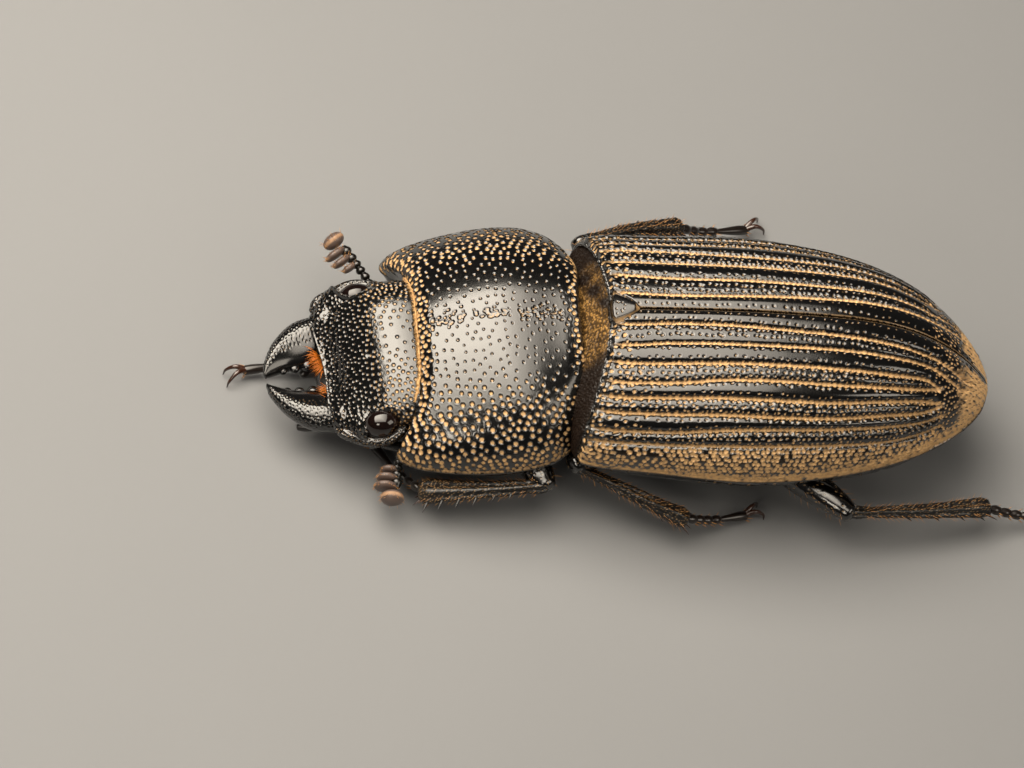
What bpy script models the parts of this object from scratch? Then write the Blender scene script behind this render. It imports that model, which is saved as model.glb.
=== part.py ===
"""Small black stag beetle with striped wing cases, life size, standing with its body curved left.

Units are metres with +Z up and the floor at z = 0. While it is modelled, x = 0 is the tip of the
wing cases, -X is towards the head and +Y is the beetle's right. The last step moves the whole
animal so that the origin lies at the bottom centre of its bounding box.
"""
import math
import random

import bmesh
import bpy
from mathutils import Matrix, Vector

MM = 0.001
GAP = 0.25 * MM                    # clearance between neighbouring pieces
WELD = 0.001 * MM                  # merge distance for welded caps
SEED = 11

# Wing cases (elytra) and what they cover
MARGIN_Z = 2.4 * MM                # height of the wing cases' side margin above the floor
ELYTRA_LENGTH = 9.84 * MM          # along the seam
ELYTRA_HALF_WIDTH = 3.54 * MM
ELYTRA_HEIGHT = 2.41 * MM          # crown of the seam above the margin
ELYTRA_THICKNESS = 0.5 * MM
SHOULDER_FORWARD = 0.64 * MM       # the shoulders reach ahead of the seam's front end
SHOULDER_SPREAD = 3.12 * MM        # from the seam to a shoulder's corner
STRIA_DEPTH = 0.13 * MM
STRIA_ANGLES = (5.6, 14.3, 23.5, 31.7, 40.6, 49.5, 57.8, 67.0)   # degrees down from the seam
BODY_ROUNDNESS = 2.2               # exponent of the body's superellipse sections
BELLY_Z = 0.75 * MM
THORAX_FRONT_X = -9.5 * MM
WAIST_HALF_WIDTH = 2.1 * MM
WAIST_HEIGHT = 1.32 * MM           # above the margin
ABDOMEN_FRONT_X = -5.6 * MM

# Prothorax, in its own frame: x = 0 is its hind edge, z = 0 its side margin
PROTHORAX_PLACE = Vector((-10.32, 0.31, 2.43)) * MM
PROTHORAX_TURN = tuple(math.radians(angle) for angle in (6.3, -8.2, 3.5))
PROTHORAX_LENGTH = 4.12 * MM
PROTHORAX_HEIGHT = 1.9 * MM
PROTHORAX_DEPTH = 1.45 * MM
PROTHORAX_WIDTHS = ((0.0, 2.2), (0.06, 2.7), (0.16, 3.12), (0.32, 3.4), (0.55, 3.46),
                    (0.78, 3.2), (0.92, 2.92), (1.0, 2.75))      # half-widths in mm
PROTHORAX_ROUNDNESS = 1.95
FRONT_ANGLE_REACH = 0.46 * MM      # the front corners embrace the head

# Head, in its own frame: x = 0 is its hind end, inside the prothorax
HEAD_PLACE = Vector((-14.0, 0.06, 2.4)) * MM
HEAD_TURN = tuple(math.radians(angle) for angle in (6.0, -8.2, 9.8))
HEAD_LENGTH = 2.95 * MM
HEAD_HALF_WIDTH = 2.2 * MM
EYE_RADIUS = 0.46 * MM
EYE_PLACE = Vector((-1.55, 1.9, -0.05)) * MM      # right eye, in the head's frame

# Limbs
COXA_RADIUS = 0.62 * MM
FEMUR_RADIUS = 0.42 * MM
TIBIA_RADIUS = 0.25 * MM
TARSUS_RADIUS = 0.25 * MM
CLAW_LENGTH = 0.55 * MM
FLOOR_CUT = 0.02 * MM             # the claws' tips are cut at this height to small flats

# Joint places of each leg: hip, knee, tibia end, then the tarsus down to the claws' root
LEGS = {
    "front_left": ((-12.1, -1.3, 1.1), (-11.1, -3.3, 1.4), (-14.1, -3.3, 0.8),
                   (-14.65, -2.5, 0.4), (-15.25, -1.55, 0.25)),
    "front_right": ((-12.4, 0.85, 1.15), (-13.75, 2.85, 1.1), (-16.2, 1.4, 0.7),
                    (-17.2, 0.8, 0.34), (-18.45, 0.5, 0.25)),
    "middle_left": ((-8.6, -1.45, 1.2), (-10.45, -2.85, 1.75), (-7.57, -3.7, 0.95),
                    (-6.8, -3.35, 0.5), (-5.9, -2.95, 0.25)),
    "middle_right": ((-8.6, 1.45, 1.2), (-10.15, 3.95, 2.0), (-7.5, 5.2, 1.25),
                     (-6.8, 5.55, 0.7), (-5.6, 6.05, 0.25)),
    "hind_left": ((-6.3, -1.3, 1.2), (-3.47, -3.5, 1.4), (0.1, -2.6, 0.8),
                  (1.0, -2.5, 0.45), (2.2, -2.4, 0.25)),
    "hind_right": ((-6.3, 1.3, 1.2), (-5.1, 4.15, 1.55), (-1.9, 3.5, 0.85),
                   (-1.25, 3.15, 0.45), (-0.3, 2.6, 0.25)),
}

# Colours, as linear RGB
BLACK = (0.012, 0.011, 0.010)
BLACK_BROWN = (0.022, 0.015, 0.011)
GOLD_BROWN = (0.19, 0.11, 0.045)
CLUB_BROWN = (0.20, 0.13, 0.10)
EYE_BROWN = (0.020, 0.010, 0.007)

guides = bpy.data.collections.new("guides")
beetle = bpy.data.collections.new("stag_beetle")


def clear_scene():
    for item in list(bpy.data.objects):
        bpy.data.objects.remove(item, do_unlink=True)
    bpy.context.scene.collection.children.link(beetle)
    bpy.context.scene.collection.children.link(guides)


def make_material(name, colour, roughness, coat=0.0):
    material = bpy.data.materials.new(name)
    material.use_nodes = True
    shader = material.node_tree.nodes["Principled BSDF"]
    shader.inputs["Base Color"].default_value = (*colour, 1.0)
    shader.inputs["Roughness"].default_value = roughness
    shader.inputs["Metallic"].default_value = 0.0
    shader.inputs["Coat Weight"].default_value = coat
    return material


def smooth(t):
    t = min(max(t, 0.0), 1.0)
    return t * t * (3.0 - 2.0 * t)


def along(stations, t):
    """Smooth value at t through a short list of (place, value) stations."""
    last = len(stations) - 1
    span = 0
    while span < last - 1 and t > stations[span + 1][0]:
        span += 1
    slopes = []
    for index in (span, span + 1):
        (t0, a), (t1, b) = stations[max(index - 1, 0)], stations[min(index + 1, last)]
        slopes.append((b - a) / (t1 - t0))
    (t0, a), (t1, b) = stations[span:span + 2]
    width = t1 - t0
    u = min(max((t - t0) / width, 0.0), 1.0)
    rise = smooth(u)
    return a + (b - a) * rise + width * u * (1 - u) * (slopes[0] * (1 - u) - slopes[1] * u)


def bow(points, count):
    """Points on a Catmull-Rom curve through the given ones."""
    ends = [points[0] * 2 - points[1], *points, points[-1] * 2 - points[-2]]
    spans = len(points) - 1
    out = []
    for step in range(count):
        place = step / (count - 1) * spans
        span = min(int(place), spans - 1)
        t = place - span
        a, b, c, d = ends[span:span + 4]
        out.append(0.5 * ((2 * b) + (c - a) * t + (2 * a - 5 * b + 4 * c - d) * t * t
                          + (3 * b - a - 3 * c + d) * t ** 3))
    return out


def power(value, exponent):
    return math.copysign(abs(value) ** exponent, value)


def section_point(degrees, half_width, height, roundness=BODY_ROUNDNESS):
    """Sideways and upward place at an angle down from the crown of a superellipse."""
    angle = math.radians(degrees)
    return (half_width * power(math.sin(angle), 2.0 / roundness),
            height * power(math.cos(angle), 2.0 / roundness))


def add_object(name, mesh, material=None, collection=None):
    item = bpy.data.objects.new(name, mesh)
    (collection or beetle).objects.link(item)
    if material:
        mesh.materials.clear()
        mesh.materials.append(material)
    return item


def loft(name, rings):
    """Closed mesh through rings of equal counts, each end closed by a fan."""
    form = bmesh.new()
    rows = [[form.verts.new(point) for point in ring] for ring in rings]
    count = len(rows[0])
    for row, following in zip(rows, rows[1:]):
        for i in range(count):
            j = (i + 1) % count
            form.faces.new((row[i], row[j], following[j], following[i]))
    for row, turn in ((rows[0], -1), (rows[-1], 1)):
        hub = form.verts.new(sum((v.co for v in row), Vector()) / count)
        for i in range(count):
            form.faces.new((row[i], row[(i + 1) % count], hub)[::turn])
    return finish_mesh(name, form)


def finish_mesh(name, form):
    bmesh.ops.remove_doubles(form, verts=form.verts, dist=WELD)
    bmesh.ops.recalc_face_normals(form, faces=form.faces)
    mesh = bpy.data.meshes.new(name)
    form.to_mesh(mesh)
    form.free()
    mesh.shade_smooth()
    mesh.set_sharp_from_angle(angle=math.radians(50))
    return mesh


def profile_curve(width, sides):
    """Closed ellipse, as tall as 1 and as wide as the given factor."""
    curve = bpy.data.curves.new("profile", "CURVE")
    curve.dimensions = "2D"
    ring = curve.splines.new("POLY")
    ring.points.add(sides - 1)
    ring.use_cyclic_u = True
    for step, point in enumerate(ring.points):
        angle = math.tau * (step + 0.5) / sides
        point.co = (width * math.cos(angle), math.sin(angle), 0.0, 1.0)
    item = add_object("profile", curve, collection=guides)
    item.hide_render = True
    item.display_type = "WIRE"
    return item


def limb(name, path, radii, width=1.0, sides=8):
    """Mesh of a tube along the path with its own radius at each point."""
    curve = bpy.data.curves.new(name, "CURVE")
    curve.dimensions = "3D"
    curve.twist_mode = "Z_UP"
    line = curve.splines.new("POLY")
    line.points.add(len(path) - 1)
    for point, place, radius in zip(line.points, path, radii):
        point.co = (*place, 1.0)
        point.radius = radius
    profile = profile_curve(width, sides)
    curve.bevel_mode = "OBJECT"
    curve.bevel_object = profile
    curve.use_fill_caps = True
    item = add_object(name, curve, collection=guides)
    evaluated = item.evaluated_get(bpy.context.evaluated_depsgraph_get())
    mesh = bpy.data.meshes.new_from_object(evaluated)
    form = bmesh.new()
    form.from_mesh(mesh)
    for spare in (item, profile):
        bpy.data.objects.remove(spare, do_unlink=True)
    return finish_mesh(name, form)


def ball(name, centre, size, segments=12, rings=8, turn=None):
    form = bmesh.new()
    bmesh.ops.create_uvsphere(form, u_segments=segments, v_segments=rings, radius=1.0)
    place = Matrix.Translation(centre) @ (turn or Matrix()) @ Matrix.Diagonal((*size, 1.0))
    bmesh.ops.transform(form, matrix=place, verts=form.verts)
    return finish_mesh(name, form)


def spine(name, root, direction, length, radius, sides=5):
    """Tapered spine with its root sunk below the surface it stands on."""
    form = bmesh.new()
    bmesh.ops.create_cone(form, cap_ends=True, segments=sides, radius1=radius,
                          radius2=radius * 0.18, depth=length * 1.5)
    aim = Vector((0, 0, 1)).rotation_difference(direction).to_matrix().to_4x4()
    centre = root + direction * length * 0.25
    bmesh.ops.transform(form, matrix=Matrix.Translation(centre) @ aim, verts=form.verts)
    return finish_mesh(name, form)


def apply_modifiers(item):
    evaluated = item.evaluated_get(bpy.context.evaluated_depsgraph_get())
    mesh = bpy.data.meshes.new_from_object(evaluated)
    item.modifiers.clear()
    item.data = mesh


def keep_largest(item):
    """Drop loose scraps and sealed hollows left by a cut or a union."""
    form = bmesh.new()
    form.from_mesh(item.data)
    bmesh.ops.remove_doubles(form, verts=form.verts, dist=WELD)
    unseen = set(form.faces)
    shells = []
    while unseen:
        stack = [unseen.pop()]
        shell = []
        while stack:
            face = stack.pop()
            shell.append(face)
            for edge in face.edges:
                for other in edge.link_faces:
                    if other in unseen:
                        unseen.discard(other)
                        stack.append(other)
        shells.append(shell)
    shells.sort(key=lambda shell: sum(face.calc_area() for face in shell), reverse=True)
    spare = [face for shell in shells[1:] for face in shell]
    bmesh.ops.delete(form, geom=spare, context="FACES")
    wires = [edge for edge in form.edges if not edge.link_faces]
    bmesh.ops.delete(form, geom=wires, context="EDGES")
    loose = [vert for vert in form.verts if not vert.link_faces]
    bmesh.ops.delete(form, geom=loose, context="VERTS")
    form.to_mesh(item.data)
    form.free()


def is_closed(mesh):
    form = bmesh.new()
    form.from_mesh(mesh)
    closed = len(form.faces) > 3 and all(edge.is_manifold for edge in form.edges) \
        and all(vert.is_manifold for vert in form.verts)
    form.free()
    return closed


def apply_boolean(item, settings):
    """Apply one Boolean; where the exact solver leaves an open edge, use the manifold one."""
    before = item.data
    for solver in ("EXACT", "MANIFOLD"):
        item.data = before
        boolean = item.modifiers.new("boolean", "BOOLEAN")
        boolean.solver = solver
        for key, value in settings.items():
            setattr(boolean, key, value)
        apply_modifiers(item)
        keep_largest(item)
        if is_closed(item.data):
            return


def fuse(item, meshes):
    """Join closed meshes to the item with one Boolean union."""
    group = bpy.data.collections.new("fused")
    bpy.context.scene.collection.children.link(group)
    bpy.context.view_layer.update()
    for mesh in meshes:
        piece = bpy.data.objects.new("piece", mesh)
        piece.matrix_world = item.matrix_world
        group.objects.link(piece)
    apply_boolean(item, {"operation": "UNION", "operand_type": "COLLECTION",
                         "collection": group})
    for piece in list(group.objects):
        bpy.data.objects.remove(piece, do_unlink=True)
    bpy.data.collections.remove(group)


def wrap(form):
    """Replace a form by its convex hull."""
    hull = bmesh.ops.convex_hull(form, input=form.verts)
    kept = {piece for piece in hull["geom"] if isinstance(piece, bmesh.types.BMFace)}
    spare = [face for face in form.faces if face not in kept]
    bmesh.ops.delete(form, geom=spare, context="FACES")
    wires = [edge for edge in form.edges if not edge.link_faces]
    bmesh.ops.delete(form, geom=wires, context="EDGES")
    loose = [vert for vert in form.verts if not vert.link_faces]
    bmesh.ops.delete(form, geom=loose, context="VERTS")
    bmesh.ops.recalc_face_normals(form, faces=form.faces)
    form.normal_update()


def grown_copy(item, distance):
    """Convex cutter that clears a solid by the distance all round."""
    form = bmesh.new()
    form.from_mesh(item.data)
    form.transform(item.matrix_world)
    bmesh.ops.delete(form, geom=form.faces[:], context="FACES_ONLY")
    bmesh.ops.delete(form, geom=form.edges[:], context="EDGES_FACES")
    wrap(form)
    moves = [vert.normal * distance * min(vert.calc_shell_factor(), 1.6) for vert in form.verts]
    for vert, move in zip(form.verts, moves):
        vert.co += move
    wrap(form)
    cutter = add_object("cutter", finish_mesh("cutter", form), collection=guides)
    cutter.hide_render = True
    cutter.display_type = "WIRE"
    return cutter


def seat(host, *guests, gap=GAP):
    """Cut the host back from each guest by the gap."""
    bpy.context.view_layer.update()
    for guest in guests:
        cutter = grown_copy(guest, gap)
        bpy.context.view_layer.update()
        apply_boolean(host, {"operation": "DIFFERENCE", "object": cutter})
        bpy.data.objects.remove(cutter, do_unlink=True)


def elytra_half_width(x):
    """Half-width of the closed wing cases at a distance ahead of their tip."""
    d = min(max(-x, 0.0), 6.6 * MM) / (6.6 * MM)
    rounded = ELYTRA_HALF_WIDTH * (1.0 - (1.0 - d) ** 1.8) ** 0.53
    narrowing = smooth((-x - 6.6 * MM) / (3.2 * MM))
    corner = max(-x - 9.1 * MM, 0.0) / (0.74 * MM)
    return rounded * (1.0 - 0.045 * narrowing) * (1.0 - 0.05 * corner * corner)


def elytra_height(x):
    """Height of the seam above the margin."""
    d = min(max(-x, 0.0), 5.0 * MM) / (5.0 * MM)
    rounded = ELYTRA_HEIGHT * (1.0 - (1.0 - d) ** 3) ** 0.9
    falling = smooth((-x - 5.5 * MM) / (5.5 * MM))
    return rounded * (1.0 - 0.127 * falling)


def shoulder_lead(x, y):
    """How far the front of a wing case reaches ahead towards its shoulder."""
    front = smooth((-x - 8.0 * MM) / (1.84 * MM))
    return SHOULDER_FORWARD * (y / SHOULDER_SPREAD) ** 2 * front


def stria_fade(x):
    return smooth((-x - 0.8 * MM) / (0.9 * MM)) * smooth((ELYTRA_LENGTH + x) / (0.4 * MM) + 0.3)


def elytron_angles():
    """Angles across a wing case, each with 1 in a groove and 0 on an interval."""
    out = [(0.0, 0.0)]
    for here, after in zip(STRIA_ANGLES, STRIA_ANGLES[1:] + (76.0,)):
        out.append((here, 1.0))
        out.append(((here + after) / 2.0, 0.0))
    return out + [(80.0, 0.0), (90.0, 0.0)]


def elytron_ring(x, side):
    width = elytra_half_width(x)
    height = elytra_height(x)
    rim = GAP / 2.0
    ring = []
    for degrees, groove in elytron_angles():
        y, z = section_point(degrees, width - rim, height)
        inward = groove * STRIA_DEPTH * stria_fade(x)
        tilt = math.radians(degrees)
        y -= inward * math.sin(tilt)
        z -= inward * math.cos(tilt)
        lead = shoulder_lead(x, y)
        ring.append(Vector((x - lead, side * (rim + max(y, 0.0)), MARGIN_Z + z)))
    inner_width = max(width - ELYTRA_THICKNESS, 0.35 * width)
    inner_height = max(height - ELYTRA_THICKNESS, 0.0)
    for degrees in (90, 75, 58, 40, 22, 8, 0):
        y, z = section_point(degrees, inner_width - rim, inner_height)
        lead = shoulder_lead(x, y)
        floor = 0.0 if inner_height > 0.2 * MM else 0.02 * MM
        ring.append(Vector((x - lead, side * (rim + max(y, 0.0)), MARGIN_Z + z - floor)))
    return ring


def elytron_stations():
    """Places along the seam, closer together at the rounded tip."""
    count = 21
    places = []
    for step in range(count):
        turn = math.radians(90.0) * (1.0 - step / (count - 1)) ** 0.92
        places.append(-0.04 * MM - (ELYTRA_LENGTH - 0.04 * MM) * math.sin(turn / 1.0) ** 1.6)
    return places


def make_elytron(name, side, material):
    rings = [elytron_ring(x, side) for x in elytron_stations()]
    return add_object(name, loft(name, rings), material)


def inner_body_ring(x, grown=0.0):
    """Section of the body under the wing cases: a dome inside them over a wider belly."""
    clear = ELYTRA_THICKNESS + GAP
    width = elytra_half_width(x)
    dome_width = max(width - clear, 0.5 * width)
    dome_height = max(elytra_height(x) - clear, 0.1 * MM)
    belly_width = max(width - 0.35 * MM, 0.6 * width)
    close = smooth((-x - 0.3 * MM) / (2.2 * MM))
    belly_depth = (MARGIN_Z - BELLY_Z - GAP) * (0.35 + 0.65 * close) - grown
    right = []
    for degrees in (0, 18, 36, 54, 72, 90):
        y, z = section_point(degrees, dome_width, dome_height)
        right.append((y, MARGIN_Z + z))
    right.append((dome_width, MARGIN_Z - GAP))
    for degrees in (90, 72, 54, 36, 18, 0):
        y, z = section_point(degrees, belly_width, belly_depth, 2.4)
        right.append((y, MARGIN_Z - GAP - 0.03 * MM - z))
    left = [(-y, z) for y, z in right[1:-1]][::-1]
    return [Vector((x, y, z)) for y, z in right + left]


def make_pterothorax(material):
    """Middle and hind thorax, under the front half of the wing cases."""
    steps = 7
    rings = []
    for step in range(steps):
        x = THORAX_FRONT_X + (ABDOMEN_FRONT_X - GAP - THORAX_FRONT_X) * step / (steps - 1)
        rings.append(inner_body_ring(x))
    return add_object("pterothorax", loft("pterothorax", rings), material)


def make_abdomen(material):
    """Abdomen with five belly plates, each with its hind edge a little proud."""
    plates = 5
    front = ABDOMEN_FRONT_X
    back = -0.75 * MM
    rings = []
    for plate in range(plates):
        start = front + (back - front) * plate / plates
        end = front + (back - front) * (plate + 1) / plates
        rings.append(inner_body_ring(start + 0.04 * MM, 0.12 * MM))
        rings.append(inner_body_ring(start + (end - start) * 0.5, 0.03 * MM))
        rings.append(inner_body_ring(end - 0.08 * MM))
    return add_object("abdomen", loft("abdomen", rings), material)


def make_scutellum(material):
    """Small triangular plate between the wing cases' bases."""
    half_width = 0.5 * MM
    length = 0.75 * MM
    front = -ELYTRA_LENGTH - 0.06 * MM
    top = MARGIN_Z + elytra_height(front) + 0.02 * MM
    rings = []
    for t in (0.0, 0.12, 0.4, 0.7, 0.92, 1.0):
        width = half_width * (1.0 - t ** 1.5) * (0.8 + 0.2 * smooth(t / 0.12)) + 0.06 * MM
        x = front + length * t
        rise = 0.1 * MM * t
        upper = [Vector((x, width * c, top + rise - 0.08 * MM * c * c)) for c in (-1, -0.5, 0, 0.5, 1)]
        lower = [Vector((x, width * c, top + rise - ELYTRA_THICKNESS)) for c in (0.8, -0.8)]
        rings.append(upper + lower)
    return add_object("scutellum", loft("scutellum", rings), material)


def make_mesonotum(material):
    """Waist between the prothorax and the wing cases, running in under their bases."""
    rings = []
    for x, scale in ((-10.6, 0.85), (-10.45, 0.95), (-10.15, 1.0), (-9.7, 1.0)):
        ring = []
        for step in range(20):
            y, z = section_point(step * 18.0, WAIST_HALF_WIDTH * scale, WAIST_HEIGHT * scale)
            ring.append(Vector((x * MM, y, MARGIN_Z + (z if z > 0 else z * 0.9))))
        rings.append(ring)
    return add_object("mesonotum", loft("mesonotum", rings), material)


def prothorax_ring(t):
    """Section of the shield, t from 0 at its hind edge to 1 at its front corners."""
    width = along(PROTHORAX_WIDTHS, t) * MM
    height = PROTHORAX_HEIGHT * along(((0.0, 0.86), (0.12, 0.91), (0.5, 1.0), (1.0, 0.695)), t)
    depth = PROTHORAX_DEPTH * along(((0.0, 0.62), (0.2, 0.95), (0.6, 1.0), (1.0, 0.72)), t)
    ring = []
    for step in range(28):
        degrees = step * 360.0 / 28
        y, z = section_point(degrees, width, height, PROTHORAX_ROUNDNESS)
        if z < 0:
            z *= depth / height
        reach = FRONT_ANGLE_REACH * t ** 3 * abs(y / (2.7 * MM)) ** 2.5
        ring.append(Vector((-PROTHORAX_LENGTH * t - reach, y, z)))
    return ring


def make_prothorax(parent, material):
    stations = (0.0, 0.04, 0.12, 0.25, 0.4, 0.55, 0.7, 0.83, 0.93, 0.985, 1.0)
    rings = [prothorax_ring(t) for t in stations]
    for ring, shrink in ((rings[0], 0.96), (rings[-1], 0.97)):
        centre = sum(ring, Vector()) / len(ring)
        for point in ring:
            point.yz = centre.yz + (point.yz - centre.yz) * shrink
    item = add_object("prothorax", loft("prothorax", rings), material)
    item.parent = parent
    return item


def head_ring(t):
    """Section of the head, t from 0 inside the prothorax to 1 at the front edge."""
    width = HEAD_HALF_WIDTH * along(((0.0, 0.8), (0.2, 0.88), (0.45, 0.96), (0.65, 1.0),
                                     (0.82, 0.93), (0.94, 0.83), (1.0, 0.74)), t)
    level = MM * along(((0.0, 0.0), (0.5, 0.0), (0.75, -0.25), (1.0, -0.5)), t)
    height = MM * along(((0.0, 0.62), (0.2, 0.72), (0.4, 0.68), (0.6, 0.52), (0.8, 0.44),
                         (1.0, 0.27)), t)
    depth = MM * along(((0.0, 0.8), (0.4, 0.95), (0.8, 0.7), (1.0, 0.4)), t)
    ring = []
    for step in range(24):
        y, z = section_point(step * 15.0, width, height, 2.5)
        if z < 0:
            z *= depth / height
        x = -HEAD_LENGTH * t + 0.2 * MM * t * (y / HEAD_HALF_WIDTH) ** 2
        ring.append(Vector((x, y, level + z)))
    return ring


def make_head(parent, material):
    stations = (0.0, 0.06, 0.18, 0.32, 0.46, 0.6, 0.74, 0.86, 0.95, 1.0)
    item = add_object("head", loft("head", [head_ring(t) for t in stations]), material)
    item.parent = parent
    canthi = [ball("canthus", Vector((-2.05, side * 2.02, -0.32)) * MM,
                   Vector((0.62, 0.36, 0.19)) * MM, 10, 6) for side in (-1, 1)]
    chin = ball("chin", Vector((-2.4, 0, -0.85)) * MM, Vector((0.6, 0.75, 0.3)) * MM, 12, 6)
    fuse(item, canthi + [chin])
    return item


def make_eye(name, side, parent, material):
    place = Vector((EYE_PLACE.x, side * EYE_PLACE.y, EYE_PLACE.z))
    size = Vector((1.0, 0.78, 0.86)) * EYE_RADIUS
    item = add_object(name, ball(name, place, size, 12, 8), material)
    item.parent = parent
    return item


def make_mandible(name, side, parent, material):
    """Short broad jaw, a closed crescent with two low blunt teeth on its inner edge."""
    outer = bow([Vector(p) * MM for p in ((-2.65, 1.62, -0.66), (-3.3, 1.5, -0.64),
                                          (-3.87, 1.03, -0.58), (-4.18, 0.5, -0.5),
                                          (-4.25, 0.24, -0.48))], 9)
    inner = bow([Vector(p) * MM for p in ((-2.65, 0.45, -0.8), (-3.2, 0.24, -0.78),
                                          (-3.6, 0.18, -0.74), (-3.95, 0.16, -0.66),
                                          (-4.2, 0.15, -0.56))], 9)
    rings = []
    for index, (a, b) in enumerate(zip(outer, inner)):
        half_height = (0.34 - 0.24 * (index / 8.0) ** 1.5) * MM
        ring = []
        for step in range(10):
            y, z = section_point(step * 36.0, 1.0, half_height)
            point = (a + b) / 2 + (a - b) / 2 * y + Vector((0, 0, z))
            ring.append(Vector((point.x, side * point.y, point.z)))
        rings.append(ring)
    item = add_object(name, loft(name, rings), material)
    teeth = []
    for x in (-3.4, -3.72):
        place = Vector((x - 0.08 * side, side * 0.25, -0.75)) * MM
        teeth.append(ball("tooth", place, Vector((0.12, 0.15, 0.12)) * MM, 8, 6))
    fuse(item, teeth)
    item.parent = parent
    return item


def beads(path, sizes, waist):
    """Path and radii of a chain of beads, three points to a bead."""
    places = bow(path, len(sizes) * 3)
    radii = []
    for size in sizes:
        radii += [size * waist, size, size * waist * 1.1]
    return places, radii


def make_antenna(side_name, side, parent, black, brown):
    """Elbowed feeler: long first joint, beaded stalk and a club of four plates."""
    if side > 0:
        elbow = Vector((-1.08, 2.38, -0.85)) * MM
        stalk_end = Vector((-1.55, 3.36, -0.52)) * MM
        tip = Vector((-1.83, 3.86, -0.45)) * MM
    else:
        elbow = Vector((-1.2, -2.3, -0.72)) * MM
        stalk_end = Vector((-1.62, -3.12, -0.82)) * MM
        tip = Vector((-1.8, -3.95, -0.88)) * MM
    root = Vector((-2.25, side * 1.66, -0.66)) * MM
    scape = limb("scape", bow([root, (root + elbow) / 2 + Vector((0, side * 0.1, -0.12)) * MM,
                               elbow], 6),
                 [0.2 * MM, 0.25 * MM, 0.25 * MM, 0.25 * MM, 0.26 * MM, 0.2 * MM])
    scape = add_object("antenna_scape_" + side_name, scape, black)
    heading = (stalk_end - elbow).normalized()
    start = elbow + heading * (0.2 * MM + GAP)
    places, radii = beads([start, (start + stalk_end) / 2, stalk_end], [0.24 * MM] * 4, 0.76)
    stalk = add_object("antenna_stalk_" + side_name, limb("stalk", places, radii), black)
    club = make_club("antenna_club_" + side_name, stalk_end, tip, side, brown)
    for item in (scape, stalk, club):
        item.parent = parent
    return scape, stalk, club


def make_club(name, start, tip, side, material):
    """Club of four flat plates that share one stem and lean to one side."""
    heading = (tip - start).normalized()
    lean = heading.cross(Vector((0, 0, side))).normalized()
    turn = Matrix((heading, lean, heading.cross(lean))).transposed().to_4x4()
    start = start + heading * GAP
    length = (tip - start).length
    stem = limb("stem", [start, start + heading * length * 0.8], [0.2 * MM, 0.25 * MM], 1.0, 6)
    item = add_object(name, stem, material)
    plates = []
    for index in range(4):
        place = start + heading * length * (0.16 + 0.245 * index)
        place += lean * 0.2 * MM * (1.0 if index < 3 else 0.6)
        size = Vector((0.13 if index < 3 else 0.2, 0.38 + 0.02 * index, 0.3)) * MM
        plates.append(ball("plate", place, size, 8, 6, turn))
    fuse(item, plates)
    return item


def make_palp(name, side, inner, parent, material):
    reach = 0.5 if inner else 0.85
    spread = 0.42 if inner else 1.05
    places = [Vector((-2.55, side * spread, -1.0)) * MM,
              Vector((-2.95, side * (spread + 0.1), -1.16)) * MM,
              Vector((-2.75 - reach, side * spread, -1.2)) * MM]
    path, radii = beads(places, [0.2 * MM, 0.24 * MM, 0.2 * MM], 0.75)
    item = add_object(name, limb(name, path, radii, 1.0, 6), material)
    item.parent = parent
    return item


def make_coxa(name, hip, knee, material):
    outward = (Vector((knee.x, knee.y, hip.z)) - hip).normalized()
    angle = math.atan2(outward.y, outward.x)
    size = Vector((1.15, 0.85, 0.9)) * COXA_RADIUS
    mesh = ball(name, hip, size, 12, 8, Matrix.Rotation(angle, 4, "Z"))
    return add_object(name, mesh, material)


def make_femur(name, hip, knee, material):
    """Thigh, thickest beyond its middle, with a narrow root joint."""
    heading = (knee - hip).normalized()
    start = hip + heading * 0.5 * COXA_RADIUS
    bend = (start + knee) / 2 + Vector((0, 0, 0.12 * MM))
    path = bow([start, bend, knee], 9)
    factors = (0.5, 0.62, 0.78, 0.95, 1.0, 0.98, 0.9, 0.78, 0.5)
    return add_object(name, limb(name, path, [FEMUR_RADIUS * f for f in factors], 1.15, 10),
                      material)


def tibia_spines(path, side, front, draw):
    """Outer teeth, alternating in size, and two spurs at the end."""
    start, end = path[0], path[-1]
    heading = (end - start).normalized()
    outward = Vector((-heading.y, heading.x, 0.0)) * (1 if side * heading.x < 0 else -1)
    outward *= -1.0
    out = []
    places = (0.3, 0.46, 0.62, 0.78, 0.93) if front else (0.48, 0.7, 0.88)
    for index, t in enumerate(places):
        root = start.lerp(end, t) + outward * TIBIA_RADIUS * 0.7
        aim = (outward + heading * (0.5 if front else 0.9)).normalized()
        length = (0.3 + 0.3 * t if front else 0.34) * draw.uniform(0.9, 1.1) * MM
        out.append(spine("tooth", root, aim, length, (0.17 if front else 0.13) * MM))
    for spread in (-0.5, 0.5):
        root = end - heading * 0.08 * MM + outward * spread * TIBIA_RADIUS
        aim = (heading + outward * spread * 0.7 + Vector((0, 0, -0.35))).normalized()
        out.append(spine("spur", root, aim, 0.34 * MM, 0.12 * MM))
    return out


def make_tibia(name, knee, end, side, front, draw, material):
    """Shin that widens to its end, with spines fused on."""
    heading = (end - knee).normalized()
    start = knee + heading * 0.22 * MM
    bend = (start + end) / 2 + Vector((0, side * 0.08, 0.06)) * MM
    path = bow([start, bend, end], 8)
    factors = (0.7, 1.0, 0.95, 1.0, 1.1, 1.22, 1.38, 1.05)
    item = add_object(name, limb(name, path, [TIBIA_RADIUS * f for f in factors], 1.1, 8),
                      material)
    fuse(item, tibia_spines(path, side, front, draw))
    return item


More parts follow.
